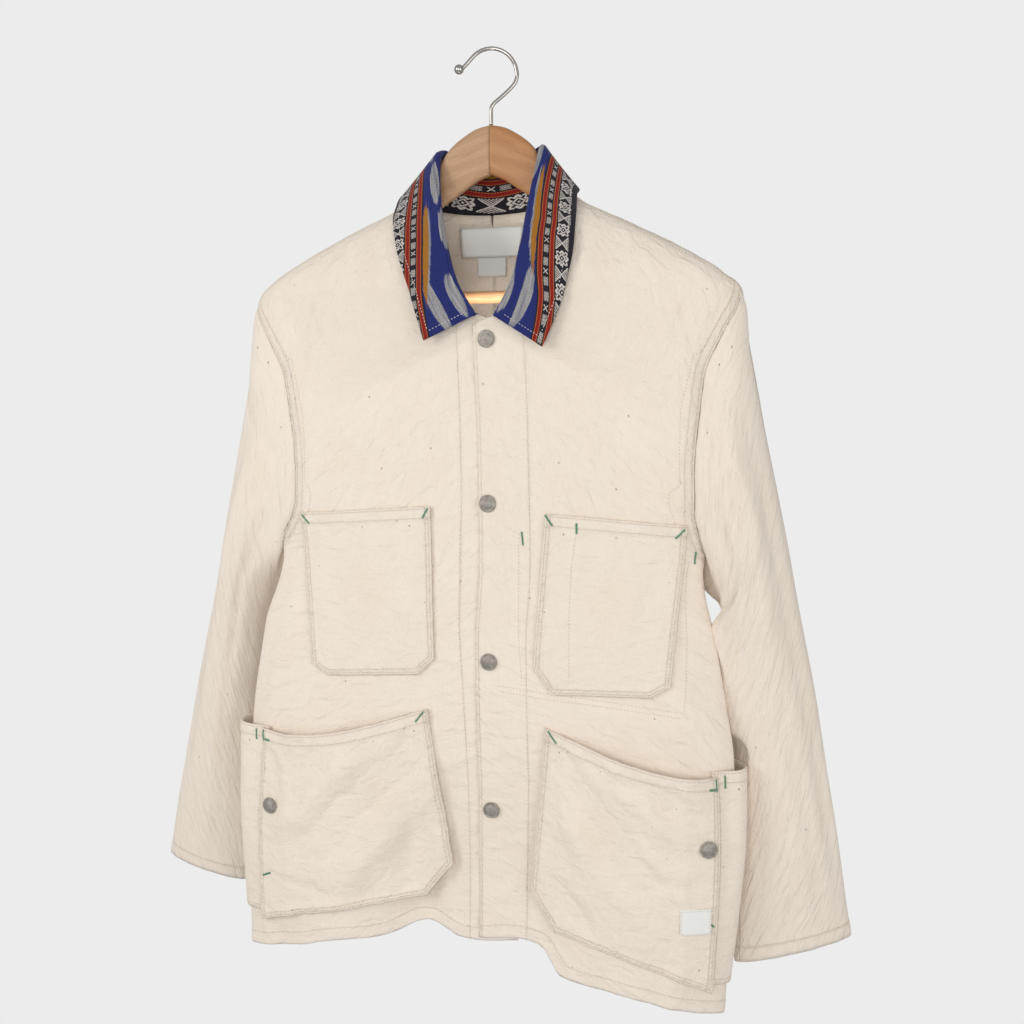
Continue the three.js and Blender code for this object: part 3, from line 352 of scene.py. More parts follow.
# Noise that is the same on every run
NOISE_CELLS = 64
NOISE_TABLE = np.random.RandomState(41).uniform(-1, 1, (NOISE_CELLS, NOISE_CELLS))


def noise(x, y, seed=0):
    """Smooth noise from -1 to 1 that changes over about one unit of x and y."""
    x = np.asarray(x, float) + seed * 7.31
    y = np.asarray(y, float) + seed * 3.17
    i, j = np.floor(x).astype(int), np.floor(y).astype(int)
    s, t = smooth(x - i), smooth(y - j)

    def corner(right, up):
        return NOISE_TABLE[(i + right) % NOISE_CELLS, (j + up) % NOISE_CELLS]

    return mix(mix(corner(0, 0), corner(1, 0), s), mix(corner(0, 1), corner(1, 1), s), t)


def armhole_place(behind, down):
    return (back_armhole if behind else front_armhole)(down)


def back_neckline(down):
    start = neckline(0.0)
    return {"turn": mix(start["turn"], 2.0, down), "z": mix(start["z"], BACK_NECK, smooth(down))}


def panel_neckline(side, down):
    place = neckline(down)
    return {"turn": place["turn"] + EDGE_TURN[side] * np.asarray(down) ** 5, "z": place["z"]}


def panel_place(side, behind, across, down):
    """Turn and height of a panel's place: across from its inner to its outer edge, and down
    from the shoulder (0) to the hem (1)."""
    across, down = np.broadcast_arrays(np.asarray(across, float), np.asarray(down, float))
    row = down * (ARMHOLE_ROWS + SKIRT_ROWS)
    centre = 2.0 if behind else EDGE_TURN[side]
    neck_down = np.clip(row / NECK_ROWS, 0, 1)
    neck = back_neckline(neck_down) if behind else panel_neckline(side, neck_down)
    neck_end = BACK_NECK if behind else FRONT_NECK
    yoke = np.clip((row - NECK_ROWS) / (ARMHOLE_ROWS - NECK_ROWS), 0, 1)
    below = np.clip((row - ARMHOLE_ROWS) / SKIRT_ROWS, 0, 1)
    inner_turn = np.where(row <= NECK_ROWS, neck["turn"], centre)
    inner_z = np.where(row <= NECK_ROWS, neck["z"], mix(neck_end, ARMHOLE_INNER, yoke))
    hem = BACK_HEM if behind else FRONT_HEM
    inner_z = np.where(row > ARMHOLE_ROWS, mix(ARMHOLE_INNER, hem, below), inner_z)
    hole = armhole_place(behind, np.clip(row / ARMHOLE_ROWS, 0, 1))
    outer_turn = np.where(row <= ARMHOLE_ROWS, hole["turn"], SIDE_SEAM_TURN)
    outer_z = np.where(row <= ARMHOLE_ROWS, hole["z"], mix(UNDERARM, SIDE_HEM[side], below))
    follow = np.where(row <= ARMHOLE_ROWS, smooth(row / SHOULDER_FOLLOW_ROWS), 1 - smooth(below * 3))
    chest = BACK_CHEST_TURN if behind else FRONT_CHEST_TURN
    eased = mix(inner_turn, chest, across) + (outer_turn - chest) * across ** 3
    turn = mix(mix(inner_turn, outer_turn, across), eased, follow)
    z = mix(inner_z, outer_z, across)
    if not behind:
        hem_turn = mix(EDGE_TURN[side], SIDE_SEAM_TURN, across)
        hem_drop = hem_lines[side](hem_turn)["z"] - mix(FRONT_HEM, SIDE_HEM[side], across)
        z = z + hem_drop * below ** 3
    return turn, z


SIDE_POCKET_GAP = 0.6
SIDE_POCKET_GAPE = 14.0
GAPE_FROM_TURN = 0.62
SIDE_POCKET_WALL = 1.6
LOWER_MOUTH_GAPE_HEIGHT = 120.0
RIDE_UP = 3.0
FOLD_BRIDGING = 0.4


def side_pocket_of(side):
    return SIDE_POCKETS["side_pocket_left" if side > 0 else "side_pocket_right"]


def side_pocket_lift(side, turn, z):
    """How far a side pocket's cloth stands off the body: its mouth gapes at the side."""
    pocket = side_pocket_of(side)
    across = np.clip((turn - GAPE_FROM_TURN) / (pocket["end"] - GAPE_FROM_TURN), 0, 1)
    up = np.clip((z - pocket["front_bottom"]) / (pocket["top"] - pocket["front_bottom"]), 0, 1)
    return LAYER + SIDE_POCKET_GAP + SIDE_POCKET_GAPE * np.sin(math.pi * across) * up


def side_pocket_standoff(side, turn, z):
    """What the sleeve keeps clear of beside the body, from 40 mm above the pocket's mouth."""
    top = side_pocket_of(side)["top"]
    reach = smooth((top + 40 - z) / 30) * smooth((turn - 0.3) / 0.2)
    return reach * (side_pocket_lift(side, turn, np.minimum(z, top)) + SIDE_POCKET_WALL)


def clear_of_body(side, points, distance):
    """Pushes places out of the body, at least a distance from its cloth. The nearest turn is
    searched in even steps, and then in ever finer ones beside the best."""
    z = points[..., 2]
    nearest = np.zeros(z.shape)
    least = np.full(z.shape, np.inf)

    def compare(turn):
        apart = np.linalg.norm(body_point(side, turn, z) - points, axis=-1)
        return np.where(apart < least, turn, nearest), np.minimum(apart, least)

    for turn in np.arange(-0.2, 1.8, 0.04):
        nearest, least = compare(turn)
    for step in (0.0133, 0.0044, 0.0015):
        centre = nearest
        for offset in (-3, -2, -1, 1, 2, 3):
            nearest, least = compare(centre + offset * step)
    out = body_normal(side, nearest, z)
    height = ((points - body_point(side, nearest, z)) * out).sum(-1)
    wanted = distance(nearest)
    return points + out * np.maximum(wanted - height, 0.0)[..., None]


def sleeve_start(side, around):
    """The armhole, down its front for the first half of the way around and up its back."""
    turned = around - np.floor(around)
    behind = turned > 0.5
    down = np.where(behind, (1 - turned) * 2, turned * 2)
    front, back = front_armhole(down), back_armhole(down)
    turn = np.where(behind, back["turn"], front["turn"])
    z = np.where(behind, back["z"], front["z"])
    return body_point(side, turn, z)


def sleeve_point(side, around, along):
    """The sleeve's cloth: around from the shoulder seam over the front to 0.5 at the underarm."""
    around, along = np.broadcast_arrays(np.asarray(around, float), np.asarray(along, float))
    station = sleeve_tables[side](along)
    top = np.stack([side * station["outX"], station["outY"], station["outZ"]], -1)
    bottom = np.stack([side * station["inX"], station["inY"], station["inZ"]], -1)
    centre, long = (top + bottom) / 2, (top - bottom) / 2
    axis = unit(long)
    front = unit(np.array([0.0, -1.0, 0.0]) + axis * axis[..., 1:2])
    angle = (around * 2 * math.pi)[..., None]
    own = centre + long * np.cos(angle) + front * (station["deep"][..., None] * np.sin(angle))
    start = sleeve_tables[side](0.0)
    start_centre = np.array([
        side * (start["outX"] + start["inX"]) / 2, (start["outY"] + start["inY"]) / 2,
        (start["outZ"] + start["inZ"]) / 2,
    ])
    seam = sleeve_start(side, around)
    follow = np.clip(station["follow"], 0, 1)[..., None]
    point = mix(own, seam + centre - start_centre, follow)
    clear = SLEEVE_CLEARANCE * np.minimum(1, along / 0.05)
    height = point[..., 2]
    pushed = clear_of_body(side, point, lambda turn: clear + side_pocket_standoff(side, turn, height))
    return np.where((along <= 0)[..., None], seam, pushed)


def lower_lift(pocket, turn, z):
    """How far a lower pocket stands off the body."""
    span = pocket["side_turn"] - pocket["in_turn"]
    across = np.clip((turn - pocket["in_turn"]) / span, 0, 1)
    mouth = np.clip((z - pocket["side_top_z"]) / LOWER_MOUTH_GAPE_HEIGHT + 1, 0, 1)
    gape = pocket["gape"] * np.sin(math.pi * across) * mouth ** 2
    ride_up = RIDE_UP * smooth((turn - pocket["side_turn"] + 0.19) / 0.06)
    bridging = FOLD_BRIDGING * np.maximum(0, -fold_depth(pocket["side"], turn, z))
    return lap_lift(pocket["side"], turn) + LAYER + gape + ride_up + bridging


# Soft creases of the cloth on the fronts and the back: from and to (x, z), half width, and
# depth out of the cloth (a trough is negative)
FRONT_CREASES = {
    1: (
        (40, -455, 70, -790, 14, -1.6), (150, -470, 205, -600, 12, 2.0),
        (60, -800, 75, -700, 10, 1.5), (100, -575, 190, -595, 7, 1.2),
        (175, -420, 150, -300, 16, 1.4), (120, -840, 140, -790, 12, -2.0),
        (180, -850, 190, -800, 10, 1.8), (30, -300, 26, -500, 14, 0.8),
    ),
    -1: (
        (-95, -440, -125, -560, 10, 1.2), (-45, -570, -25, -800, 9, 2.2),
        (-160, -440, -205, -600, 12, 2.0), (-70, -800, -55, -640, 10, -2.4),
        (-20, -420, -16, -600, 12, 0.9), (-150, -280, -175, -410, 16, 1.4),
        (-120, -840, -135, -800, 12, 1.8), (-190, -850, -200, -810, 9, -1.6),
    ),
}
POCKET_CREASES = {
    "lower_pocket_right": (
        (-40, -608, -165, -745, 13, -3.0), (-75, -735, -130, -640, 11, 1.4),
        (-200, -636, -186, -692, 6, -1.6), (-196, -764, -146, -767, 5, -1.1),
        (-200, -795, -60, -772, 6, 1.2), (-92, -618, -196, -722, 13, 3.2),
        (-30, -652, -125, -765, 13, 2.6), (-60, -600, -80, -640, 8, 1.4),
    ),
    "lower_pocket_left": (
        (80, -606, 127, -672, 9, -2.6), (127, -668, 176, -728, 10, -2.2),
        (168, -724, 207, -729, 7, -1.4), (108, -612, 204, -668, 10, -2.4),
        (73, -728, 113, -782, 8, -1.8), (92, -640, 118, -760, 14, 1.6),
        (120, -608, 192, -690, 12, 3.2), (84, -660, 152, -762, 13, 2.8),
        (150, -690, 205, -745, 10, 2.0),
    ),
    "chest_pocket_right": ((-62, -428, -79, -535, 7, -1.4), (-42, -505, -100, -470, 8, 0.9)),
    "chest_pocket_left": ((96, -440, 150, -520, 10, -1.1), (150, -440, 135, -540, 9, 0.9)),
}
BACK_CREASES = (
    (-150, -400, -70, -560, 14, 2.4), (150, -400, 80, -560, 14, 2.4),
    (-170, -440, -120, -700, 12, -2.0), (165, -440, 130, -720, 12, -2.0),
    (-40, -300, -60, -700, 18, 1.4), (50, -280, 70, -640, 18, 1.4),
    (-120, -230, -80, -330, 16, -1.4), (120, -230, 85, -330, 16, -1.4),
    (-90, -700, -110, -830, 12, 2.0), (100, -690, 90, -830, 12, 2.0),
    (0, -560, 12, -830, 14, -1.4),
)


CREASE_WANDER = 3.0
CREASE_UNEVEN = 0.35
CREASE_SHOULDER = 0.35
CREASE_FADE = 0.35


def creases(table, x, z, seed):
    """Soft troughs and ridges along lines, uneven in depth and fading at their ends, each with
    a weaker bend the other way beside it."""
    relief = np.zeros(x.shape)
    for k, (x0, z0, x1, z1, width, out) in enumerate(table):
        long = math.hypot(x1 - x0, z1 - z0)
        ux, uz = (x1 - x0) / long, (z1 - z0) / long
        along = (x - x0) * ux + (z - z0) * uz
        apart = (z - z0) * ux - (x - x0) * uz
        apart = apart + CREASE_WANDER * noise(along / 45, k, seed)
        share = along / long
        fade = smooth((share + 0.1) / CREASE_FADE) * smooth((1.1 - share) / CREASE_FADE)
        uneven = 1 + CREASE_UNEVEN * noise(along / 30, k + 0.5, seed + 3)
        beside = CREASE_SHOULDER * np.exp(-(((apart - 1.7 * width) / width) ** 2))
        relief = relief + out * fade * uneven * (np.exp(-((apart / width) ** 2)) - beside)
    return relief


def distance_to(points, line):
    """Distance from each point to a line of points, and the length along the line there."""
    steps = np.linalg.norm(np.diff(line, axis=0), axis=1)
    lengths = np.concatenate([[0], np.cumsum(steps)])
    flat = points.reshape(-1, 3)
    best = np.full(len(flat), np.inf)
    along = np.zeros(len(flat))
    for k in range(len(line) - 1):
        if steps[k] < 1e-6:
            continue
        way = (line[k + 1] - line[k]) / steps[k]
        t = np.clip((flat - line[k]) @ way, 0, steps[k])
        apart = np.linalg.norm(flat - line[k] - t[:, None] * way, axis=1)
        closer = apart < best
        best = np.where(closer, apart, best)
        along = np.where(closer, lengths[k] + t, along)
    return best.reshape(points.shape[:-1]), along.reshape(points.shape[:-1])


RIPPLE_DEPTH = 1.5
RIPPLE_LENGTH = 26.0
FINE_RIPPLE_LENGTH = 12.0
RIPPLE_FADE = 5.0
EDGE_ROLL = 1.6
STITCH_GROOVE = 0.32
STITCH_GROOVE_WIDTH = 0.9
FAR_FROM_SEAMS = 99.0
# The kinds of seam, each with its own distance in the cloth's "sewn_mm"
SEWN_TWICE, TURNED_EDGE, INNER_ROW = range(3)


class Seam:
    """A sewn line: the cloth is thick up to band from it, and rolls down over edge. Ripples of
    a pitch are held by the stitches, that run at the distances rows."""

    def __init__(self, line, band, thick, ripple, rows, seed, pitch=9.0, edge=0.5, kind=SEWN_TWICE):
        self.line, self.band, self.thick, self.ripple = line, band, thick, ripple
        self.rows, self.seed, self.pitch, self.edge, self.kind = rows, seed, pitch, edge, kind

    def relief(self, points):
        apart, along = distance_to(points, self.line)
        band = self.thick * smooth((self.band + EDGE_ROLL - apart) / EDGE_ROLL)
        roll = -self.edge * smooth(1 - apart / EDGE_ROLL)
        ripples = noise((along + 0.5 * apart) / self.pitch, apart / RIPPLE_LENGTH, self.seed)
        fine_pitch = self.pitch * 0.45
        fine = noise((along - 0.6 * apart) / fine_pitch, apart / FINE_RIPPLE_LENGTH, self.seed + 5)
        held = np.exp(-((apart / (self.band + RIPPLE_FADE)) ** 2))
        groove = np.zeros(apart.shape)
        for row in self.rows:
            groove = groove - STITCH_GROOVE * np.exp(-(((apart - row) / STITCH_GROOVE_WIDTH) ** 2))
        return band + roll + groove + RIPPLE_DEPTH * self.ripple * held * (ripples + 0.5 * fine)


class Cloth:
    """A piece of cloth. place(u, v) turns shares into the surface's own two coordinates, and
    surface(a, b) gives places, outward directions and the relief of the soft creases. size is
    the number of columns and rows of its mesh."""

    def __init__(self, name, size, surface, place=None, closed=False, wall=CLOTH_WALL, origin=None):
        self.name, self.size, self.surface = name, size, surface
        self.place = place if place is not None else (lambda u, v: (u, v))
        self.seams, self.closed, self.wall, self.origin = [], closed, wall, origin

    def at(self, a, b, lift=0.0):
        points, out, relief = self.surface(np.asarray(a, float), np.asarray(b, float))
        for seam in self.seams:
            relief = relief + seam.relief(points)
        return points + out * (relief + lift)[..., None], out

    def line(self, u, v):
        """A line on the cloth before its relief, given by shares."""
        a, b = self.place(np.asarray(u, float), np.asarray(v, float))
        return self.surface(*np.broadcast_arrays(a, b))[0]

    def mesh(self, material):
        columns, rows = self.size
        u, v = np.meshgrid(np.linspace(0, 1, columns), np.linspace(0, 1, rows))
        if self.closed:
            u, v = u[:, :-1], v[:, :-1]
        places = self.place(u, v)
        points, guide = self.at(*places)
        made = shell_object(self.name, points, self.closed, self.wall, guide, material, self.origin)
        plain = self.surface(*places)[0]
        apart = np.full(plain.shape, FAR_FROM_SEAMS)
        for seam in self.seams:
            distance = distance_to(plain, seam.line)[0]
            apart[..., seam.kind] = np.minimum(apart[..., seam.kind], distance)
        outside = apart.reshape(-1, 3)
        inside_count = len(made.data.vertices) - len(outside)
        values = np.concatenate([outside, np.full((inside_count, 3), FAR_FROM_SEAMS)])
        layer = made.data.attributes.new("sewn_mm", "FLOAT_VECTOR", "POINT")
        layer.data.foreach_set("vector", values.ravel())
        return made


def grid_normals(points, closed, guide):
    """Normals of a grid of points, on the side that guide points to."""
    if closed:
        across = np.roll(points, -1, 1) - np.roll(points, 1, 1)
    else:
        across = np.gradient(points, axis=1)
    down = np.gradient(points, axis=0)
    out = unit(np.cross(across, down))
    return out * np.where((out * guide).sum(-1, keepdims=True) < 0, -1.0, 1.0)


INNER_STEP = 3


def inner_step(spans):
    """The inner face of a shell is coarser than the outer one, where the spans divide."""
    return INNER_STEP if spans % INNER_STEP == 0 else 1


def shell_object(name, points, closed, wall, guide, material, origin=None):
    """A thin closed shell: the points outside, and a plainer inner face a wall further in.
    origin is the row and column that the cloth's own places are counted from."""
    out = grid_normals(points, closed, guide)
    rows, columns = points.shape[:2]
    last_u = columns if closed else columns - 1
    step_v, step_u = inner_step(rows - 1), inner_step(last_u)
    inside = (points - out * wall)[::step_v, ::step_u]
    inner_rows, inner_columns = inside.shape[:2]
    vertices = np.concatenate([points.reshape(-1, 3), inside.reshape(-1, 3)])
    first_inner = rows * columns

    def outer(i, j):
        return i * columns + j % columns

    def inner(i, j):
        return first_inner + i * inner_columns + j % inner_columns

    faces = []
    lengths_u = np.linalg.norm(np.diff(points, axis=1), axis=2)
    lengths_v = np.linalg.norm(np.diff(points, axis=0), axis=2)
    total_u = np.concatenate([np.zeros((rows, 1)), np.cumsum(lengths_u, axis=1)], axis=1)
    total_v = np.concatenate([np.zeros((1, columns)), np.cumsum(lengths_v, axis=0)], axis=0)
    width = total_u[:, -1].max()
    uv_points = np.stack([np.broadcast_to(total_u.mean(0), points.shape[:2]), total_v], -1)
    if origin is not None:
        row, column = origin
        along = total_u[row] - total_u[row, column]
        uv_points = np.stack([np.broadcast_to(along, points.shape[:2]), total_v - total_v[row]], -1)
    for i in range(rows - 1):
        for j in range(last_u):
            faces.append((outer(i, j), outer(i + 1, j), outer(i + 1, j + 1), outer(i, j + 1)))
    inner_last = inner_columns if closed else inner_columns - 1
    for i in range(inner_rows - 1):
        for j in range(inner_last):
            faces.append((inner(i, j), inner(i, j + 1), inner(i + 1, j + 1), inner(i + 1, j)))

    def rim(outer_line, inner_line, flip):
        count = (len(outer_line) - 1) // (len(inner_line) - 1)
        for k in range(len(inner_line) - 1):
            part = outer_line[k * count:(k + 1) * count + 1]
            fan = [(inner_line[k], part[m], part[m + 1]) for m in range(count - 1)]
            fan.append((inner_line[k], part[count - 1], part[count], inner_line[k + 1]))
            for face in fan:
                faces.append(tuple(reversed(face)) if flip else face)

    span_o = list(range(columns)) + ([0] if closed else [])
    span_i = list(range(inner_columns)) + ([0] if closed else [])
    rim([outer(0, j) for j in span_o], [inner(0, j) for j in span_i], False)
    rim([outer(rows - 1, j) for j in span_o], [inner(inner_rows - 1, j) for j in span_i], True)
    if not closed:
        rim([outer(i, 0) for i in range(rows)], [inner(i, 0) for i in range(inner_rows)], True)
        rim([outer(i, columns - 1) for i in range(rows)],
            [inner(i, inner_columns - 1) for i in range(inner_rows)], False)
    uv = np.concatenate([uv_points.reshape(-1, 2), uv_points[::step_v, ::step_u].reshape(-1, 2)])
    facing = np.cross(points[1, 0] - points[0, 0], points[0, 1] - points[0, 0])
    if (facing * out[0, 0]).sum() < 0:
        faces = [tuple(reversed(face)) for face in faces]
    return make_object(name, vertices, faces, material, uv, width if closed else None)


def make_object(name, vertices, faces, material, uv=None, wrap=None):
    """A mesh from places in millimetres. uv are the cloth's own places, and wrap is the way
    round a tube, that its last column of faces is carried on by."""
    mesh = bpy.data.meshes.new(name)
    mesh.from_pydata((np.asarray(vertices) * MM).tolist(), [], faces)
    mesh.validate()
    if uv is not None:
        layer = mesh.uv_layers.new(name="cloth_mm")
        index = np.empty(len(mesh.loops), int)
        mesh.loops.foreach_get("vertex_index", index)
        values = np.asarray(uv, float)[index]
        if wrap is not None:
            starts = np.empty(len(mesh.polygons), int)
            totals = np.empty(len(mesh.polygons), int)
            mesh.polygons.foreach_get("loop_start", starts)
            mesh.polygons.foreach_get("loop_total", totals)
            owner = np.repeat(np.arange(len(starts)), totals)
            high = np.full(len(starts), -np.inf)
            np.maximum.at(high, owner, values[:, 0])
            low_side = high[owner] - values[:, 0] > wrap / 2
            values[:, 0] = np.where(low_side, values[:, 0] + wrap, values[:, 0])
        layer.data.foreach_set("uv", (values / PLACE_UNIT).ravel())
    mesh.polygons.foreach_set("use_smooth", [True] * len(mesh.polygons))
    mesh.materials.append(material)
    made = bpy.data.objects.new(name, mesh)
    bpy.context.scene.collection.objects.link(made)
    return made


THREAD_RADIUS = 0.42
TACK_THREAD_RADIUS = 0.6
TUCKED_IN = 0.6
# The faces between a stitch's start (0), its four middle corners (1 to 4) and its end (5)
STITCH_FACES = (
    (0, 1, 2), (0, 2, 3), (0, 3, 4), (0, 4, 1), (5, 2, 1), (5, 3, 2), (5, 4, 3), (5, 1, 4),
)


def stitch_mesh(name, runs, material, thread=THREAD_RADIUS):
    """Threads lying on the cloth. Each run is (starts, ends, out) arrays in millimetres."""
    starts, ends, out = (np.concatenate(arrays) for arrays in zip(*runs))
    way = unit(ends - starts)
    sideways = unit(np.cross(way, out))
    middle = (starts + ends) / 2
    wide, high = sideways * thread, out * thread
    corners = np.stack([
        starts - high * TUCKED_IN, middle + wide, middle + high, middle - wide, middle - high,
        ends - high * TUCKED_IN,
    ], 1)
    base = (np.arange(len(starts)) * corners.shape[1])[:, None, None]
    faces = (base + np.array(STITCH_FACES)[None]).reshape(-1, 3)
    return make_object(name, corners.reshape(-1, 3), faces.tolist(), material)


STITCH_PITCH = 3.1
STITCH_LENGTH = 2.5
STITCH_LIFT = 0.18


def run_of_stitches(cloth, a, b):
    """Stitches along a line on a piece of cloth, given in its surface's coordinates."""
    places = np.broadcast_arrays(np.asarray(a, float), np.asarray(b, float))
    points, out = cloth.at(*places, STITCH_LIFT)
    steps = np.linalg.norm(np.diff(points, axis=0), axis=1)
    total = np.concatenate([[0], np.cumsum(steps)])
    heads = np.arange(STITCH_PITCH * 0.3, total[-1] - STITCH_LENGTH, STITCH_PITCH)

    def on(distance, values):
        return np.stack([np.interp(distance, total, values[:, k]) for k in range(3)], -1)

    return on(heads, points), on(heads + STITCH_LENGTH, points), unit(on(heads, out))


def by_height(table):
    """An armhole's turn at each height."""
    _, rows = table
    return smooth_table((("z", "turn"), tuple((row[2], row[1]) for row in rows)))


front_hole = by_height(FRONT_ARMHOLE)
back_hole = by_height(BACK_ARMHOLE)


BODY_WAVES = 0.8
SMALL_WAVES = 0.35


def body_relief(side, turn, z):
    """Creases and slight unevenness of the body's cloth, dying out toward its seams."""
    x = body_point(side, turn, z)[..., 0]
    behind = turn > SIDE_SEAM_TURN
    front = creases(FRONT_CREASES[side], x, z, 11 + side)
    back = creases(BACK_CREASES, x, z, 17)
    relief = np.where(behind, back, front)
    relief = relief + BODY_WAVES * noise(x / 62, z / 85, 5 + side)
    relief = relief + SMALL_WAVES * noise(x / 27, z / 34, 9 + side)
    side_fade = smooth(np.abs(turn - SIDE_SEAM_TURN) / 0.12)
    hole_apart = np.where(behind, turn - back_hole(z)["turn"], front_hole(z)["turn"] - turn)
    hole_fade = np.where(z > UNDERARM, smooth(hole_apart / 0.09), 1.0)
    shoulder_apart = np.where(behind, turn - 1.0, 0.86 - turn)
    shoulder_fade = np.where(z > -240, smooth(shoulder_apart / 0.15), 1.0)
    middle_fade = np.where(behind, smooth((2 - turn) / 0.06), 1.0)
    if side < 0:
        middle_fade = np.where(behind, middle_fade, smooth((turn - 0.02) / 0.08))
    return relief * side_fade * hole_fade * shoulder_fade * middle_fade


POCKET_FOLD_DEPTH = 1.35
# A pocket's own folds go this far toward the body, and no further
POCKET_FOLD_ROOM = 1.2


def on_body(side, lift, folds=()):
    """The surface of a panel or pocket, in turn and z: lift(turn, z) off the body, with its
    own folds."""
    def surface(turn, z):
        turn, z = np.broadcast_arrays(turn, z)
        out = body_normal(side, turn, z)
        points = body_point(side, turn, z) + out * lift(turn, z)[..., None]
        own = POCKET_FOLD_DEPTH * creases(folds, points[..., 0], z, 71 + side)
        return points, out, body_relief(side, turn, z) + np.maximum(own, -POCKET_FOLD_ROOM)

    return surface


SHARES = np.linspace(0, 1, 40)
HEM_SHARES = np.linspace(0, 1, 90)
ARMHOLE_END = ARMHOLE_ROWS / (ARMHOLE_ROWS + SKIRT_ROWS)
NECK_END = NECK_ROWS / (ARMHOLE_ROWS + SKIRT_ROWS)


def body_panel(name, side, behind):
    """A front or back panel, with its hem, armhole, shoulder, side and inner seams."""
    def place(u, v):
        return panel_place(side, behind, u, v)

    cloth = Cloth(name, (145, 301), on_body(side, lambda turn, z: lap_lift(side, turn)), place)
    hem = cloth.line(HEM_SHARES, 1)
    hole = cloth.line(1, SHARES * ARMHOLE_END)
    shoulder = cloth.line(SHARES, 0)
    side_seam = cloth.line(1, mix(ARMHOLE_END, 1.0, SHARES))
    inner = cloth.line(0, mix(NECK_END, 1.0, SHARES))
    cloth.seams = [
        Seam(hem, band=13, thick=0.5, ripple=0.28, rows=(12.0,), seed=1 + side, kind=TURNED_EDGE),
        Seam(hole, band=9, thick=0.6, ripple=0.34, pitch=7, rows=(2.0, 8.0), seed=3 + side),
        Seam(shoulder, band=8, thick=0.3, ripple=0.2, rows=(2.0, 8.0), seed=5 + side, edge=0.3),
        Seam(side_seam, band=7, thick=0.3, ripple=0.22, rows=(2.0, 7.0), seed=7 + side, edge=0.3),
    ]
    if behind:
        form = dict(band=7, thick=0.3, ripple=0.2, rows=(2.0,), seed=9, edge=0.3)
    else:
        form = dict(band=47, thick=0.35, ripple=0.3, rows=(3.0, 46.0), seed=11 + side)
    cloth.seams.append(Seam(inner, kind=INNER_ROW, **form))
    return cloth


ALONG_STEP = 0.008
AROUND_STEP = 0.006


def sleeve_surface(side):
    """The surface of a sleeve, in shares around and along it."""
    def surface(around, along):
        around, along = np.broadcast_arrays(around, along)
        points = sleeve_point(side, around, along)
        above, below = np.maximum(along - ALONG_STEP, 0), np.minimum(along + ALONG_STEP, 1.0)
        down = sleeve_point(side, around, below) - sleeve_point(side, around, above)
        before, after = around - AROUND_STEP, around + AROUND_STEP
        turned = sleeve_point(side, after, along) - sleeve_point(side, before, along)
        out = unit(np.cross(turned, down)) * side
        return points, out, sleeve_relief(side, around, along)

    return surface


# Creases down the sleeves: from and to (around, along), half width in millimetres, and out
SLEEVE_CREASES = {
    1: (
        (0.10, 0.10, 0.11, 0.95, 12, -2.2), (0.17, 0.05, 0.20, 0.60, 14, 1.8),
        (0.30, 0.08, 0.32, 0.55, 12, -2.0), (0.42, 0.15, 0.36, 0.70, 12, 1.6),
        (0.24, 0.50, 0.22, 1.00, 11, 1.4), (0.62, 0.15, 0.66, 0.80, 14, -2.0),
        (0.80, 0.10, 0.78, 0.85, 14, 1.8), (0.90, 0.40, 0.91, 0.98, 10, -1.4),
    ),
    -1: (
        (0.12, 0.08, 0.11, 0.85, 13, -1.8), (0.20, 0.10, 0.18, 0.70, 14, 1.8),
        (0.33, 0.10, 0.30, 0.60, 12, -2.2), (0.44, 0.18, 0.40, 0.75, 12, 1.4),
        (0.26, 0.55, 0.26, 1.00, 11, 1.4), (0.60, 0.12, 0.64, 0.80, 14, -2.0),
        (0.78, 0.10, 0.80, 0.90, 14, 1.8), (0.92, 0.30, 0.90, 0.98, 10, -1.4),
    ),
}
SLEEVE_ROUND = 420
SLEEVE_LONG = 590
SLEEVE_CIRCLE = 70
CUFF_ROW = 13.0


def sleeve_relief(side, around, along):
    """Creases and slight unevenness of a sleeve, dying out toward the armhole."""
    around = around - np.floor(around)
    across, down = around * SLEEVE_ROUND, along * SLEEVE_LONG
    table = [
        (a0 * SLEEVE_ROUND, l0 * SLEEVE_LONG, a1 * SLEEVE_ROUND, l1 * SLEEVE_LONG, width, out)
        for a0, l0, a1, l1, width, out in SLEEVE_CREASES[side]
    ]
    relief = creases(table, across, down, 23 + side)
    x = SLEEVE_CIRCLE * np.cos(around * 2 * math.pi)
    y = SLEEVE_CIRCLE * np.sin(around * 2 * math.pi)
    relief = relief + BODY_WAVES * noise(x / 45 + y / 60, down / 80, 27 + side)
    return relief * smooth((along - 0.01) / 0.05) * mix(1, 0.5, smooth((along - 0.9) / 0.1))


def sleeve(name, side):
    """A sleeve, closed round, with its underarm seam and turned cuff."""
    cloth = Cloth(name, (220, 130), sleeve_surface(side), closed=True)
    start, cuff, under = cloth.line(SHARES, 0), cloth.line(SHARES, 1), cloth.line(0.5, SHARES)
    cloth.seams = [
        Seam(start, band=0, thick=0.0, ripple=0.3, pitch=8, rows=(), seed=31 + side, edge=0.3),
        Seam(cuff, band=14, thick=0.5, ripple=0.25, rows=(CUFF_ROW,), seed=33 + side, kind=TURNED_EDGE),
        Seam(under, band=7, thick=0.3, ripple=0.2, rows=(6.0,), seed=35 + side, edge=0.3, kind=INNER_ROW),
    ]
    return cloth


def neck_drift(y):
    """How far the neck is turned aside, at the front and at the back."""
    return FRONT_NECK_DRIFT * np.clip(-y / 57, 0, 1) ** 2 - BACK_DRIFT * np.clip(y / 24, 0, 1) ** 2


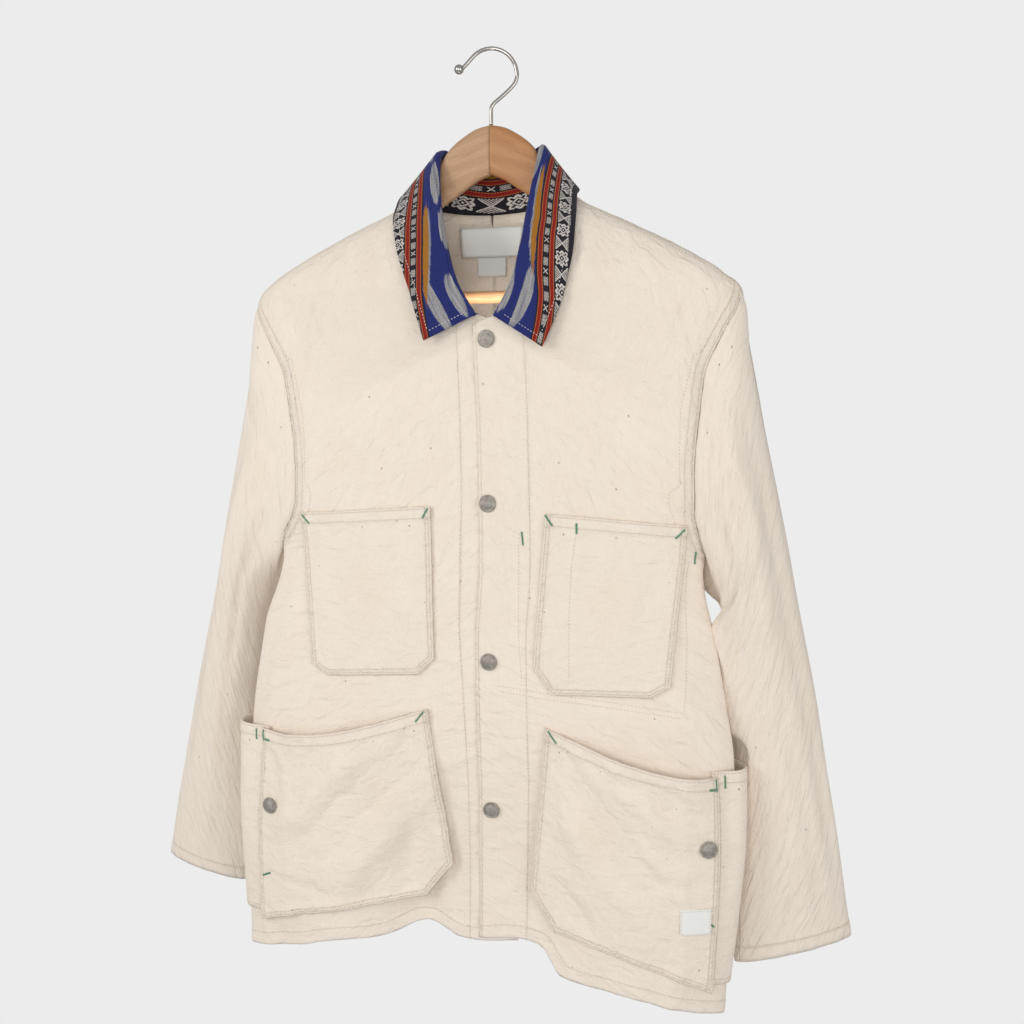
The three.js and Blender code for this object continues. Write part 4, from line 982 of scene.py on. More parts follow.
def neck_seam(side, around):
    """The collar's seam on the body, just inside the panels: up the back and down the front."""
    behind = around < COLLAR_SHOULDER
    front_share = (around - COLLAR_SHOULDER) / (1 - COLLAR_SHOULDER)
    share = np.where(behind, 1 - around / COLLAR_SHOULDER, front_share)
    down = np.where(behind, share, share * mix(1, COLLAR_REACH, share))
    back, front = back_neckline(down), panel_neckline(side, down)
    turn = np.where(behind, back["turn"], front["turn"])
    z = np.where(behind, back["z"], front["z"])
    behind_panel = BEHIND_FRONT * np.where(behind, 0, smooth((share - 0.45) / 0.3))
    lift = lap_lift(side, turn) - PANEL_WALL - behind_panel
    return body_point(side, turn, z) + body_normal(side, turn, z) * lift[..., None]


STAND_END = 0.30
ROLL_END = 0.385
LEAF_CLEARANCE = 2.5
LEAF_ON_BODY = -114.0
COLLAR_SIZE = (301, 76)


def off_axis(vectors, axis):
    """What is left of vectors across an axis."""
    axis = unit(axis)
    return unit(vectors - axis * (vectors * axis).sum(-1, keepdims=True))


def half_collar(side, around, up_over):
    """The collar: around from centre back to its front end, up_over from the neck seam up
    over the roll (its top at about a third) to the leaf's outer edge."""
    place = collar_at(around)

    def at(x, y, z):
        return np.stack([side * x + neck_drift(y), y, z], -1)

    seam = neck_seam(side, around)
    roll = at(place["rollX"], place["rollY"], place["rollZ"])
    trim = LEFT_LEAF_TRIM * np.sin(math.pi * np.clip(around / 0.9, 0, 1)) if side > 0 else 0.0
    drop = LEFT_LEAF_DROP * smooth((around - 0.6) / 0.4) if side > 0 else 0.0
    edge = at(place["edgeX"] - trim, place["edgeY"], place["edgeZ"] - drop)
    stand = roll - seam
    up = unit(stand / COLLAR_STAND + unit(roll - edge))
    outward = off_axis(edge - seam, up)
    middle = roll - up * ROLL_RADIUS
    foot_gap = 1 + 1.2 * smooth((around - 0.6) / 0.2)
    foot = seam + unit(stand) * foot_gap[..., None]
    stand_top = middle - outward * ROLL_RADIUS
    stand_share = np.clip(up_over / STAND_END, 0, 1)[..., None]
    stand_out = -off_axis(outward, stand_top - foot)
    angle = (np.clip((up_over - STAND_END) / (ROLL_END - STAND_END), 0, 1) * math.pi)[..., None]
    roll_out = -outward * np.cos(angle) + up * np.sin(angle)
    leaf_top = middle + outward * ROLL_RADIUS
    leaf_share = np.clip((up_over - ROLL_END) / (1 - ROLL_END), 0, 1)[..., None]
    leaf = mix(leaf_top, edge, leaf_share)
    pushed = clear_of_body(side, leaf, lambda turn: LEAF_CLEARANCE + lap_lift(side, turn))
    near_body = smooth((LEAF_ON_BODY - leaf[..., 2:3]) / 8)
    leaf = mix(leaf, pushed, near_body)
    leaf_out = off_axis(outward, edge - leaf_top)
    in_stand, in_leaf = (up_over < STAND_END)[..., None], (up_over > ROLL_END)[..., None]
    points = np.where(in_stand, mix(foot, stand_top, stand_share), middle + roll_out * ROLL_RADIUS)
    out = np.where(in_stand, stand_out, roll_out)
    return np.where(in_leaf, leaf, points), np.where(in_leaf, leaf_out, out)


def collar_surface(across, up_over):
    """across runs from -1 at the wearer's right end to 1 at the left end."""
    across, up_over = np.broadcast_arrays(across, up_over)
    around = np.abs(across)
    left, left_out = half_collar(1, around, up_over)
    right, right_out = half_collar(-1, around, up_over)
    is_left = (across >= 0)[..., None]
    points, out = np.where(is_left, left, right), np.where(is_left, left_out, right_out)
    leaf = smooth((up_over - ROLL_END) / 0.2)
    waves = 0.5 * noise(across * 7, up_over * 3, 51) + 0.25 * noise(across * 19, up_over * 5, 52)
    return points, out, leaf * waves


def collar_piece():
    """The collar in one piece: stand, roll and leaf."""
    columns, rows = COLLAR_SIZE
    roll_row = round((STAND_END + ROLL_END) / 2 * (rows - 1))
    cloth = Cloth(
        "collar", COLLAR_SIZE, collar_surface, lambda u, v: (2 * u - 1, v), wall=COLLAR_WALL,
        origin=(roll_row, columns // 2),
    )
    edge = cloth.line(SHARES, 1)
    ends = [cloth.line(end, mix(ROLL_END, 1, SHARES)) for end in (0, 1)]
    cloth.seams = [Seam(edge, band=6, thick=0.25, ripple=0.2, pitch=8, rows=(5.5,), seed=53)]
    cloth.seams += [
        Seam(line, band=6, thick=0.2, ripple=0.15, pitch=8, rows=(5.5,), seed=55) for line in ends
    ]
    return cloth


def outline_seams(cloth, mouth, seed):
    """A pocket's turned mouth, and its other three sides sewn down in one line."""
    left, bottom, right = cloth.line(0, SHARES), cloth.line(SHARES, 1), cloth.line(1, SHARES)
    around = np.concatenate([left[:-1], bottom[:-1], right[::-1]])
    return [
        Seam(cloth.line(SHARES, 0), band=mouth, thick=0.5, ripple=0.3, rows=(2.0, mouth - 1.0), seed=seed,
             kind=TURNED_EDGE),
        Seam(around, band=6.5, thick=0.4, ripple=0.4, pitch=8, rows=POCKET_EDGE_ROWS, edge=0.9,
             seed=seed + 1),
    ]


def chest_pocket(name):
    """A flat patch pocket with both lower corners clipped."""
    pocket = CHEST_POCKETS[name]
    side, clip = pocket["side"], pocket["clip"]

    def place(u, v):
        cut = np.maximum(0, 1 - u / clip) * pocket["in_clip"]
        cut = cut + np.maximum(0, 1 - (1 - u) / clip) * pocket["out_clip"]
        top_z = mix(pocket["in_top_z"], pocket["out_top_z"], u)
        bottom_z = mix(pocket["in_bottom_z"], pocket["out_bottom_z"], u) + cut
        z = mix(top_z, bottom_z, v)
        top_x = mix(pocket["in_top"], pocket["out_top"], u)
        bottom_x = mix(pocket["in_bottom"], pocket["out_bottom"], u)
        return turn_at_x(side, mix(top_x, bottom_x, v), z), z

    def lift(turn, z):
        return lap_lift(side, turn) + LAYER

    cloth = Cloth(name, (100, 121), on_body(side, lift, POCKET_CREASES[name]), place)
    cloth.seams = outline_seams(cloth, CHEST_MOUTH, 61 + side)
    return cloth


def lower_pocket(name):
    """A large patch pocket with a sagging mouth and its inner corner clipped."""
    pocket = LOWER_POCKETS[name]
    side, clip = pocket["side"], pocket["clip"]

    def place(u, v):
        top_z = mix(pocket["in_top_z"], pocket["side_top_z"], u) - pocket["sag"] * np.sin(math.pi * u)
        cut = np.maximum(0, 1 - u / clip) * pocket["in_clip"]
        bottom_z = mix(pocket["in_bottom_z"], pocket["side_bottom_z"], u) + cut
        z = mix(top_z, bottom_z, v)
        inner = turn_at_x(side, mix(pocket["in_top"], pocket["in_bottom"], v), z)
        return mix(inner, pocket["side_turn"], u), z

    def lift(turn, z):
        return lower_lift(pocket, turn, z)

    cloth = Cloth(name, (130, 142), on_body(side, lift, POCKET_CREASES[name]), place)
    cloth.seams = outline_seams(cloth, LOWER_MOUTH, 65 + side)
    return cloth


def side_pocket(name):
    """The layer under a lower pocket, round the side seam to the back."""
    pocket = SIDE_POCKETS[name]
    side = pocket["side"]

    def place(u, v):
        turn = mix(pocket["start"], pocket["end"], u)
        bottom = mix(pocket["front_bottom"], pocket["back_bottom"], u)
        return turn, mix(pocket["top"], bottom, v)

    def lift(turn, z):
        return lap_lift(side, turn) + side_pocket_lift(side, turn, z)

    cloth = Cloth(name, (91, 121), on_body(side, lift), place)
    cloth.seams = outline_seams(cloth, SIDE_MOUTH, 69 + side)
    return cloth


LABELS = {
    "neck_label": dict(left=-38, right=23, top=-150, bottom=-176),
    "care_label": dict(left=-23, right=5, top=-176.4, bottom=-194),
    "pocket_label": dict(left=190, right=214, top=-744, bottom=-767),
}
NECK_LABEL_LIFT = -PANEL_WALL - 2.4
POCKET_LABEL_LIFT = 1.7


def label(name):
    """A bare label: inside the back neck, or on the left lower pocket."""
    box = LABELS[name]
    inside = name != "pocket_label"

    def place(u, v):
        z = mix(box["top"], box["bottom"], v)
        if inside:
            return turn_at_x(1, mix(box["right"], box["left"], u), z, 1.4, 2.6), z
        return turn_at_x(1, mix(box["left"], box["right"], u), z), z

    def inside_neck(turn, z):
        turn, z = np.broadcast_arrays(turn, z)
        out = body_normal(1, turn, z)
        return body_point(1, turn, z) + out * NECK_LABEL_LIFT, out, 0 * turn

    def lift(turn, z):
        return lower_lift(LOWER_POCKETS["lower_pocket_left"], turn, z) + POCKET_LABEL_LIFT

    return Cloth(name, (61, 31), inside_neck if inside else on_body(1, lift), place, wall=LABEL_WALL)


def join_rings(first, rings, sides, flip=False):
    """Quads between rings of points that follow each other from the point first on."""
    faces = []
    for i in range(rings - 1):
        a = first + i * sides
        b = a + sides
        for j in range(sides):
            k = (j + 1) % sides
            face = (a + j, a + k, b + k, b + j)
            faces.append(face[::-1] if flip else face)
    return faces


def lathe(profile, sides, seat, out, name, material):
    """A turned piece: profile of (radius, height) about the direction out from its seat."""
    out = unit(np.asarray(out, float))
    first = unit(np.cross(out, [0.0, 0.0, 1.0]))
    second = np.cross(out, first)
    angles = np.arange(sides) / sides * 2 * math.pi
    vertices = [seat + out * profile[0][1]]
    ring = first * np.cos(angles)[:, None] + second * np.sin(angles)[:, None]
    for radius, height in profile[1:-1]:
        vertices.extend(seat + ring * radius + out * height)
    vertices.append(seat + out * profile[-1][1])
    rings = len(profile) - 2
    faces = join_rings(1, rings, sides)
    tip = len(vertices) - 1
    last = tip - sides
    for j in range(sides):
        k = (j + 1) % sides
        faces.append((0, 1 + k, 1 + j))
        faces.append((last + j, last + k, tip))
    return make_object(name, vertices, faces, material)


def fine_profile(corners, steps):
    """Rounds a profile by Catmull-Rom curves through its corners."""
    points = np.array(corners, float)
    padded = np.concatenate([[points[0]], points, [points[-1]]])
    fine = []
    for k in range(len(points) - 1):
        a, b, c, d = padded[k:k + 4]
        for t in np.arange(steps) / steps:
            fine.append(0.5 * (2 * b + (c - a) * t + (2 * a - 5 * b + 4 * c - d) * t ** 2
                               + (3 * b - a - 3 * c + d) * t ** 3))
    fine.append(points[-1])
    return np.array(fine)


BUTTON_RADIUS = 7.6
BUTTON_HEIGHT = 3.2
BUTTON_SIDES = 48
BUTTON_GAP = 0.4
# Shares of the radius and the height, from the seat round the rim to the middle of the face
BUTTON_PROFILE = (
    (0, 0), (0.60, 0), (0.90, 0.06), (1.0, 0.24), (1.0, 0.46), (0.96, 0.66), (0.88, 0.72),
    (0.80, 0.62), (0.66, 0.70), (0.5, 0.84), (0.25, 0.95), (0, 1.0),
)


def add_button(name, side, turn, z, lift, material):
    """A round metal button, seated on the cloth's own relief."""
    out = body_normal(side, turn, z)
    seat = body_point(side, turn, z) + out * (lift + float(body_relief(side, turn, z)))
    shares = fine_profile(BUTTON_PROFILE, 3)
    profile = [(max(0.0, r) * BUTTON_RADIUS, h * BUTTON_HEIGHT) for r, h in shares]
    return lathe(profile, BUTTON_SIDES, seat, out, name, material)


# Hanger
ARM_END = 208.0
NECK_END_X = 74.0
# The arms' neck part: x, the top's z and the bottom's z
HANGER_NECK = (
    (0, -64, -107), (12, -66.5, -112), (25, -73, -120), (38, -83, -128), (46, -94, -133),
    (52, -107, -137), (58, -118, -141), (64, -125, -145), (74, -131, -152),
)
HANGER_THICK = 12.5
ARM_SIDES = 40
ARM_SQUARENESS = 0.55
ARM_BELOW_CLOTH = 2.9
ARM_END_DROP = 4.5
ARM_END_ROUND = 3.0
BAR_RADIUS = 5.5
BAR_LENGTH = 399.4
BAR_HEIGHT = -216.0
BAR_EDGE = 0.6
WIRE_RADIUS = 1.7
WIRE_SIDES = 20
BALL_RADIUS = 4.2
BALL_RINGS = 16
BALL_SIDES = 28
HOOK_TURN = 18 * DEGREES
HOOK_RADIUS = 22.5
HOOK_CENTRE = (0.5, -20.8)
# The hook's stem and tip, in its own plane: across and z
HOOK_STEM = ((0, -63.6), (0, -56), (0, -50), (1.4, -46.6), (9, -39.8), (16.6, -33), (21.4, -27.4))
HOOK_TIP = ((-21.6, -11.6), (-25.6, -15.2), (-28.4, -16.2))


def shoulder_line(x):
    """The cloth's place on the shoulder seam at x: by halving the span of heights."""
    low, high = -235.0, -116.0
    for _ in range(30):
        middle = (low + high) / 2
        if body_point(1, 1, middle)[0] > x:
            low = middle
        else:
            high = middle
    return body_point(1, 1, (low + high) / 2)


def arm_stations():
    """The hanger arm's x, y, top and bottom: its neck part, and then just below the shoulder."""
    sweep = shoulder_line(ARM_END)[1] / ARM_END ** 2
    neck = smooth_table((("x", "top", "bottom"), HANGER_NECK))
    stations = []
    for x in np.linspace(0.15, NECK_END_X, 36):
        here = neck(x)
        stations.append((x, sweep * x * x, float(here["top"]), float(here["bottom"])))
    for x in np.linspace(NECK_END_X + 3, ARM_END, 60):
        line = shoulder_line(x)
        top = line[2] - ARM_BELOW_CLOTH - ARM_END_DROP * (x / ARM_END) ** 4
        depth = mix(21, 20, (x - NECK_END_X) / (ARM_END - NECK_END_X))
        y = mix(sweep * x * x, line[1], smooth((x - NECK_END_X) / 20))
        stations.append((x, y, top, top - depth))
    return stations


def hanger_arm(name, side, material):
    """One wooden arm: rings of a rounded rectangle, smaller toward its rounded end."""
    angles = (np.arange(ARM_SIDES) + 0.5) / ARM_SIDES * 2 * math.pi
    across = np.sign(np.cos(angles)) * np.abs(np.cos(angles)) ** ARM_SQUARENESS
    up = np.sign(np.sin(angles)) * np.abs(np.sin(angles)) ** ARM_SQUARENESS
    *along, (end_x, end_y, end_top, end_bottom) = arm_stations()
    rings = [(*station, 1.0) for station in along]
    for t in (0.25, 0.5, 0.75, 0.92):
        scale = mix(0.72, 1.0, math.sqrt(1 - t * t))
        rings.append((end_x - ARM_END_ROUND * (1 - t), end_y, end_top, end_bottom, scale))
    vertices = []
    for x, y, top, bottom, scale in rings:
        middle, half = (top + bottom) / 2, (top - bottom) / 2 * scale
        for a, b in zip(across, up):
            vertices.append((side * x, y + a * HANGER_THICK / 2 * scale, middle + b * half))
    faces = join_rings(0, len(rings), ARM_SIDES, flip=side < 0)
    first, last = tuple(range(ARM_SIDES)), tuple(range(len(vertices) - ARM_SIDES, len(vertices)))
    faces += [first[::-1], last] if side > 0 else [first, last[::-1]]
    return make_object(name, vertices, faces, material)


def hanger_bar(material):
    """The round trouser bar, from one arm to the other."""
    end = np.array([-BAR_LENGTH / 2, shoulder_line(200)[1], BAR_HEIGHT])
    profile = [(0, 0), (BAR_RADIUS - BAR_EDGE, 0), (BAR_RADIUS, BAR_EDGE)]
    profile += [(BAR_RADIUS, BAR_LENGTH * t) for t in np.linspace(0.01, 0.99, 30)]
    profile += [(BAR_RADIUS, BAR_LENGTH - BAR_EDGE), (BAR_RADIUS - BAR_EDGE, BAR_LENGTH), (0, BAR_LENGTH)]
    return lathe(profile, 40, end, [1.0, 0.0, 0.0], "hanger_bar", material)


def blend(points, knots, reach, s):
    """Each two points that follow each other, blended by where s is between their knots."""
    blended = []
    for i in range(len(points) - 1):
        low, high = knots[i], knots[i + reach]
        blended.append((high - s) / (high - low) * points[i] + (s - low) / (high - low) * points[i + 1])
    return blended


def smooth_path(points, step):
    """A centripetal Catmull-Rom curve through the points, evenly spaced."""
    points = np.asarray(points, float)
    padded = np.concatenate([[2 * points[0] - points[1]], points, [2 * points[-1] - points[-2]]])
    fine = []
    for k in range(len(points) - 1):
        p = padded[k:k + 4]
        t = np.concatenate([[0], np.cumsum(np.sqrt(np.linalg.norm(np.diff(p, axis=0), axis=1)))])
        for s in np.linspace(t[1], t[2], 24, endpoint=False):
            fine += blend(blend(blend(p, t, 1, s), t, 2, s), t[1:], 1, s)
    fine = np.array(fine + [points[-1]])
    total = np.concatenate([[0], np.cumsum(np.linalg.norm(np.diff(fine, axis=0), axis=1))])
    at = np.linspace(0, total[-1], int(total[-1] / step) + 1)
    return np.stack([np.interp(at, total, fine[:, k]) for k in range(3)], -1)


def ball(centre, radius, first):
    """A ball's points and faces, where first is the number of its first point."""
    vertices = [centre + [0, 0, radius]]
    for i in range(1, BALL_RINGS):
        down = math.pi * i / BALL_RINGS
        for j in range(BALL_SIDES):
            turned = 2 * math.pi * j / BALL_SIDES
            across = math.sin(down)
            way = [across * math.cos(turned), across * math.sin(turned), math.cos(down)]
            vertices.append(centre + radius * np.array(way))
    vertices.append(centre - [0, 0, radius])
    faces = join_rings(first + 1, BALL_RINGS - 1, BALL_SIDES, flip=True)
    bottom = first + len(vertices) - 1
    last = bottom - BALL_SIDES
    for j in range(BALL_SIDES):
        k = (j + 1) % BALL_SIDES
        faces.append((first, first + 1 + j, first + 1 + k))
        faces.append((last + j, bottom, last + k))
    return vertices, faces


def hanger_hook(material):
    """The bent wire with its ball tip, in a plane turned toward the wearer's left."""
    cos, sin = math.cos(HOOK_TURN), math.sin(HOOK_TURN)
    arc = [
        (HOOK_CENTRE[0] + HOOK_RADIUS * math.cos(angle), HOOK_CENTRE[1] + HOOK_RADIUS * math.sin(angle))
        for angle in np.linspace(-4, 138, 11) * DEGREES
    ]
    bends = [(across * cos, across * sin, z) for across, z in (*HOOK_STEM, *arc, *HOOK_TIP)]
    path = smooth_path(bends, 0.9)
    tangent = unit(np.gradient(path, axis=0))
    sideways = np.array([-sin, cos, 0.0])
    in_plane = unit(np.cross(tangent, sideways))
    angles = np.arange(WIRE_SIDES) / WIRE_SIDES * 2 * math.pi
    vertices = []
    for place, inward in zip(path, in_plane):
        ring = inward * np.cos(angles)[:, None] + sideways * np.sin(angles)[:, None]
        vertices.extend(place + ring * WIRE_RADIUS)
    faces = join_rings(0, len(path), WIRE_SIDES, flip=True)
    faces.append(tuple(range(WIRE_SIDES)))
    faces.append(tuple(range(len(vertices) - WIRE_SIDES, len(vertices)))[::-1])
    ball_vertices, ball_faces = ball(path[-1], BALL_RADIUS, len(vertices))
    return make_object("hanger_hook", vertices + ball_vertices, faces + ball_faces, material)


# Materials

class Signal:
    """A value in a node tree that arithmetic can be written with."""

    def __init__(self, tree, socket):
        self.tree, self.socket = tree, socket

    def math(self, operation, *others):
        node = self.tree.nodes.new("ShaderNodeMath")
        node.operation = operation
        for index, value in enumerate((self,) + others):
            if isinstance(value, Signal):
                self.tree.links.new(value.socket, node.inputs[index])
            else:
                node.inputs[index].default_value = value
        return Signal(self.tree, node.outputs[0])

    def __add__(self, other):
        return self.math("ADD", other)

    def __sub__(self, other):
        return self.math("SUBTRACT", other)

    def __mul__(self, other):
        return self.math("MULTIPLY", other)

    def __truediv__(self, other):
        return self.math("DIVIDE", other)

    def __rsub__(self, other):
        return (self * -1.0) + other

    def sin(self):
        return self.math("SINE")

    def abs(self):
        return self.math("ABSOLUTE")

    def below(self, other):
        return self.math("LESS_THAN", other)

    def above(self, other):
        return self.math("GREATER_THAN", other)

    def least(self, other):
        return self.math("MINIMUM", other)

    def most(self, other):
        return self.math("MAXIMUM", other)

    def repeat(self, period):
        """Folds the value to run from minus half a period to half a period."""
        return (self + period / 2).math("FLOORED_MODULO", period) - period / 2

    def ramp(self, low, high):
        node = self.tree.nodes.new("ShaderNodeMapRange")
        node.interpolation_type = "SMOOTHSTEP"
        self.tree.links.new(self.socket, node.inputs["Value"])
        node.inputs["From Min"].default_value = low
        node.inputs["From Max"].default_value = high
        return Signal(self.tree, node.outputs["Result"])


class Weave:
    """Helpers to write one node group or material."""

    def __init__(self, tree):
        self.tree = tree

    def node(self, kind, **inputs):
        node = self.tree.nodes.new(kind)
        for name, value in inputs.items():
            self.put(node.inputs[name.replace("_", " ")], value)
        return node

    def put(self, socket, value):
        if isinstance(value, Signal):
            self.tree.links.new(value.socket, socket)
        elif isinstance(value, bpy.types.NodeSocket):
            self.tree.links.new(value, socket)
        elif isinstance(value, tuple) and len(value) == 3 and socket.type == "RGBA":
            socket.default_value = (*value, 1)
        else:
            socket.default_value = value

    def cloth_places(self):
        """Places on the cloth in millimetres."""
        node = self.tree.nodes.new("ShaderNodeUVMap")
        node.uv_map = "cloth_mm"
        split = self.node("ShaderNodeSeparateXYZ", Vector=node.outputs["UV"])
        x, y = (Signal(self.tree, split.outputs[axis]) for axis in "XY")
        return x * PLACE_UNIT, y * PLACE_UNIT

    def vector(self, x, y, z=0.0):
        return self.node("ShaderNodeCombineXYZ", X=x, Y=y, Z=z).outputs[0]

    def noise(self, place, scale=1.0, detail=2.0, roughness=0.5, distortion=0.0):
        """Noise at a place: a socket, or its x, y and z."""
        if isinstance(place, tuple):
            place = self.vector(*place)
        node = self.node(
            "ShaderNodeTexNoise", Vector=place, Scale=scale, Detail=detail, Roughness=roughness,
            Distortion=distortion,
        )
        return Signal(self.tree, node.outputs["Fac"])

    def dots(self, place, scale):
        """Distance from scattered points, and a random value for each of them."""
        node = self.node("ShaderNodeTexVoronoi", Vector=place, Scale=scale)
        split = self.node("ShaderNodeSeparateXYZ", Vector=node.outputs["Color"])
        return Signal(self.tree, node.outputs["Distance"]), Signal(self.tree, split.outputs["X"])

    def mix(self, share, low, high):
        node = self.tree.nodes.new("ShaderNodeMix")
        node.data_type = "RGBA"
        self.put(node.inputs[0], share)
        self.put(node.inputs[6], low)
        self.put(node.inputs[7], high)
        return node.outputs[2]

    def brighten(self, colour, amount):
        return self.node("ShaderNodeHueSaturation", Color=colour, Value=amount).outputs[0]

    def bump(self, height, distance):
        return self.node("ShaderNodeBump", Height=height, Strength=1.0, Distance=distance).outputs[0]


def srgb(red, green, blue):
    """A colour as a screen shows it, 0 to 255, in the linear values of a material."""
    return tuple(((c / 255 + 0.055) / 1.055) ** 2.4 if c > 10 else c / 3294.6 for c in (red, green, blue))


def node_group(name, outputs, inputs=()):
    """A new group, with the writer of its nodes and its input and output nodes."""
    tree = bpy.data.node_groups.new(name, "ShaderNodeTree")
    for label_text, kind in inputs:
        tree.interface.new_socket(label_text, in_out="INPUT", socket_type=kind)
    for label_text, kind in outputs:
        tree.interface.new_socket(label_text, in_out="OUTPUT", socket_type=kind)
    sink = tree.nodes.new("NodeGroupOutput")
    source = tree.nodes.new("NodeGroupInput")
    return Weave(tree), source, sink


CLOTH_OUTPUTS = (("Colour", "NodeSocketColor"), ("Height", "NodeSocketFloat"))
FULL_TURN = 6.2832

ECRU = srgb(245, 233, 218)
ECRU_SHADE = srgb(238, 222, 200)
NEP = srgb(112, 84, 60)
# The colour of the painted shade along the stitched rows and in their puckers
SEAM_PAINTED_SHADE = srgb(176, 140, 100)


def cotton_group():
    """Undyed cotton drill: twill lines, slubs along both threads, faint clouds and neps."""
    weave, _, sink = node_group("cotton_drill", CLOTH_OUTPUTS)
    x, y = weave.cloth_places()
    twill = ((x * 0.95 + y * 1.05) * FULL_TURN).sin()
    threads = (x * 11.4).sin() * 0.5
    slub_down = weave.noise((x * 0.85, y * 0.045), 1.0, 3.0, 0.6)
    slub_across = weave.noise((x * 0.05, y * 0.9, 3.0), 1.0, 3.0, 0.6)
    clouds = weave.noise((x * 0.022, y * 0.02, 7.0), 1.0, 3.0, 0.55)
    patches = weave.noise((x * 0.11, y * 0.08, 1.0), 1.0, 2.0, 0.5)
    tone = (slub_down - 0.5) * 0.10 + (slub_across - 0.5) * 0.07 + twill * 0.012 + (patches - 0.5) * 0.05
    warm = (clouds * 1.5 - 0.45 + (patches - 0.5) * 0.6).ramp(0.0, 1.0)
    base = weave.mix(warm * 0.5, ECRU, ECRU_SHADE)
    shaded = weave.brighten(base, tone + 1.0)
    apart, chance = weave.dots(weave.vector(x + slub_down * 1.2, y * 0.8), 0.085)
    fleck = apart.below(chance * 0.05 + 0.012) * chance.above(0.72)
    apart_fine, chance_fine = weave.dots(weave.vector(x * 1.3, y, 9.0), 0.14)
    fine_fleck = apart_fine.below(0.03) * chance_fine.above(0.6)
    specks = (fleck * 0.75).most(fine_fleck * 0.3)
    weave.put(sink.inputs["Colour"], weave.mix(specks, shaded, NEP))
    crumple = weave.noise((x * 0.055, y * 0.075, 2.0), 1.0, 3.0, 0.55, 0.6)
    woven = twill * 0.35 + threads * 0.2 + slub_down * 1.6 + slub_across * 1.3
    weave.put(sink.inputs["Height"], woven + fleck * 1.2 + crumple * 24.0)
    return weave.tree


def new_material(name):
    material = bpy.data.materials.new(name)
    material.use_nodes = True
    weave = Weave(material.node_tree)
    return material, weave, material.node_tree.nodes["Principled BSDF"]


def use_group(weave, tree):
    node = weave.tree.nodes.new("ShaderNodeGroup")
    node.node_tree = tree
    return node


COTTON_GROUP = cotton_group()


def seam_row_group():
    """One row of stitching at an offset from a seam: puckers beside it, with painted shade along the
    row's groove and in the puckers' troughs, and painted light on their ridges.
    """
    weave, source, sink = node_group(
        "stitched_row", (("Painted_Shade", "NodeSocketFloat"), ("Height", "NodeSocketFloat")),
        (("Distance", "NodeSocketFloat"), ("Offset", "NodeSocketFloat")),
    )
    x, y = weave.cloth_places()
    wander = weave.noise((x * 0.3, y * 0.3, 4.0), 1.0, 2.0) - 0.5
    away = Signal(weave.tree, source.outputs["Distance"]) - Signal(weave.tree, source.outputs["Offset"])
    apart = (away + wander * 0.5).abs()
    line = 1.0 - apart.ramp(0.1, 0.75)
    pucker = weave.noise((x * 0.34, y * 0.34, 8.0), 1.0, 2.0, 0.6)
    near = 1.0 - apart.ramp(0.5, 4.5)
    gather = (pucker - 0.5) * near
    # Painted shade: the row's groove and the troughs of the puckers are darkened, and their ridges are
    # lightened
    weave.put(sink.inputs["Painted_Shade"], line * (pucker.ramp(0.3, 0.65) * 0.10 + 0.03) - gather * 0.10)
    weave.put(sink.inputs["Height"], gather * 11.0 - line * 2.0)
    return weave.tree


SEAM_ROW = seam_row_group()
# What one unit of a weave's height stands for, in metres
DRILL_RELIEF = 0.00013
IKAT_RELIEF = 0.00012


def cotton_material(name, rows):
    """Cotton with rows of stitching, each darkened by painted shade along its groove and puckers: each
    row is the kind of seam and how far the row is from it.
    """
    material, weave, shader = new_material(name)
    cloth = use_group(weave, COTTON_GROUP)
    sewn = weave.tree.nodes.new("ShaderNodeAttribute")
    sewn.attribute_name = "sewn_mm"
    split = weave.node("ShaderNodeSeparateXYZ", Vector=sewn.outputs["Vector"])
    shade, height = None, Signal(weave.tree, cloth.outputs["Height"])
    for kind, offset in rows:
        row = use_group(weave, SEAM_ROW)
        weave.put(row.inputs["Distance"], split.outputs["XYZ"[kind]])
        row.inputs["Offset"].default_value = offset
        tone = Signal(weave.tree, row.outputs["Painted_Shade"])
        shade = tone if shade is None else shade + tone
        height = height + Signal(weave.tree, row.outputs["Height"])
    # The rows' painted shade is mixed into the cloth's colour
    shade_in = weave.mix(shade * 1.8, cloth.outputs["Colour"], SEAM_PAINTED_SHADE)
    weave.put(shader.inputs["Base Color"], shade_in)
    shader.inputs["Roughness"].default_value = 0.92
    shader.inputs["Specular IOR Level"].default_value = 0.2
    shader.inputs["Sheen Weight"].default_value = 0.12
    shader.inputs["Sheen Roughness"].default_value = 0.6
    weave.put(shader.inputs["Normal"], weave.bump(height, DRILL_RELIEF))
    return material


ROYAL_BLUE = srgb(37, 48, 116)
DEEP_BLUE = srgb(27, 33, 86)
HEATHER = srgb(176, 174, 170)
HEATHER_DARK = srgb(104, 104, 118)
MUSTARD = srgb(158, 108, 32)
BLACK_GROUND = srgb(34, 31, 38)
MOTIF_WHITE = srgb(222, 214, 206)
MOTIF_GREY = srgb(150, 140, 142)
BRICK = srgb(136, 30, 26)
OCHRE = srgb(190, 112, 58)

# Spindles of the ikat: along the collar from centre back, off the fold, length and width
SPINDLES = (
    (83, 0.5, 38, 8), (158, -1.0, 34, 7), (203, 4, 42, 9), (206, 22, 48, 10),
    (-92, 5.5, 40, 8.5), (-140, 2, 38, 7.5), (-204, 8, 42, 9.5), (-208, 28, 48, 10),
    (-46, 8, 42, 8), (0, 4, 40, 8), (40, 9, 42, 8), (22, -9, 38, 8), (-66, -12, 38, 8),
    (106, -14, 40, 8), (-128, -13, 38, 8),
)
MUSTARD_SPINDLES = ((136, 94, 4.6), (-155, 90, 4.8), (0, 100, 6))
# Where the bands start off the fold, and how they drift outward toward the collar's ends
BAND_START = 18.5
BAND_DRIFT = 0.000062
BAND_DRIFT_POWER = 2.55
BAND_DRIFT_FROM = 60.0
LEFT_BAND_SHIFT = 4.5
STAND_BAND = 19.5
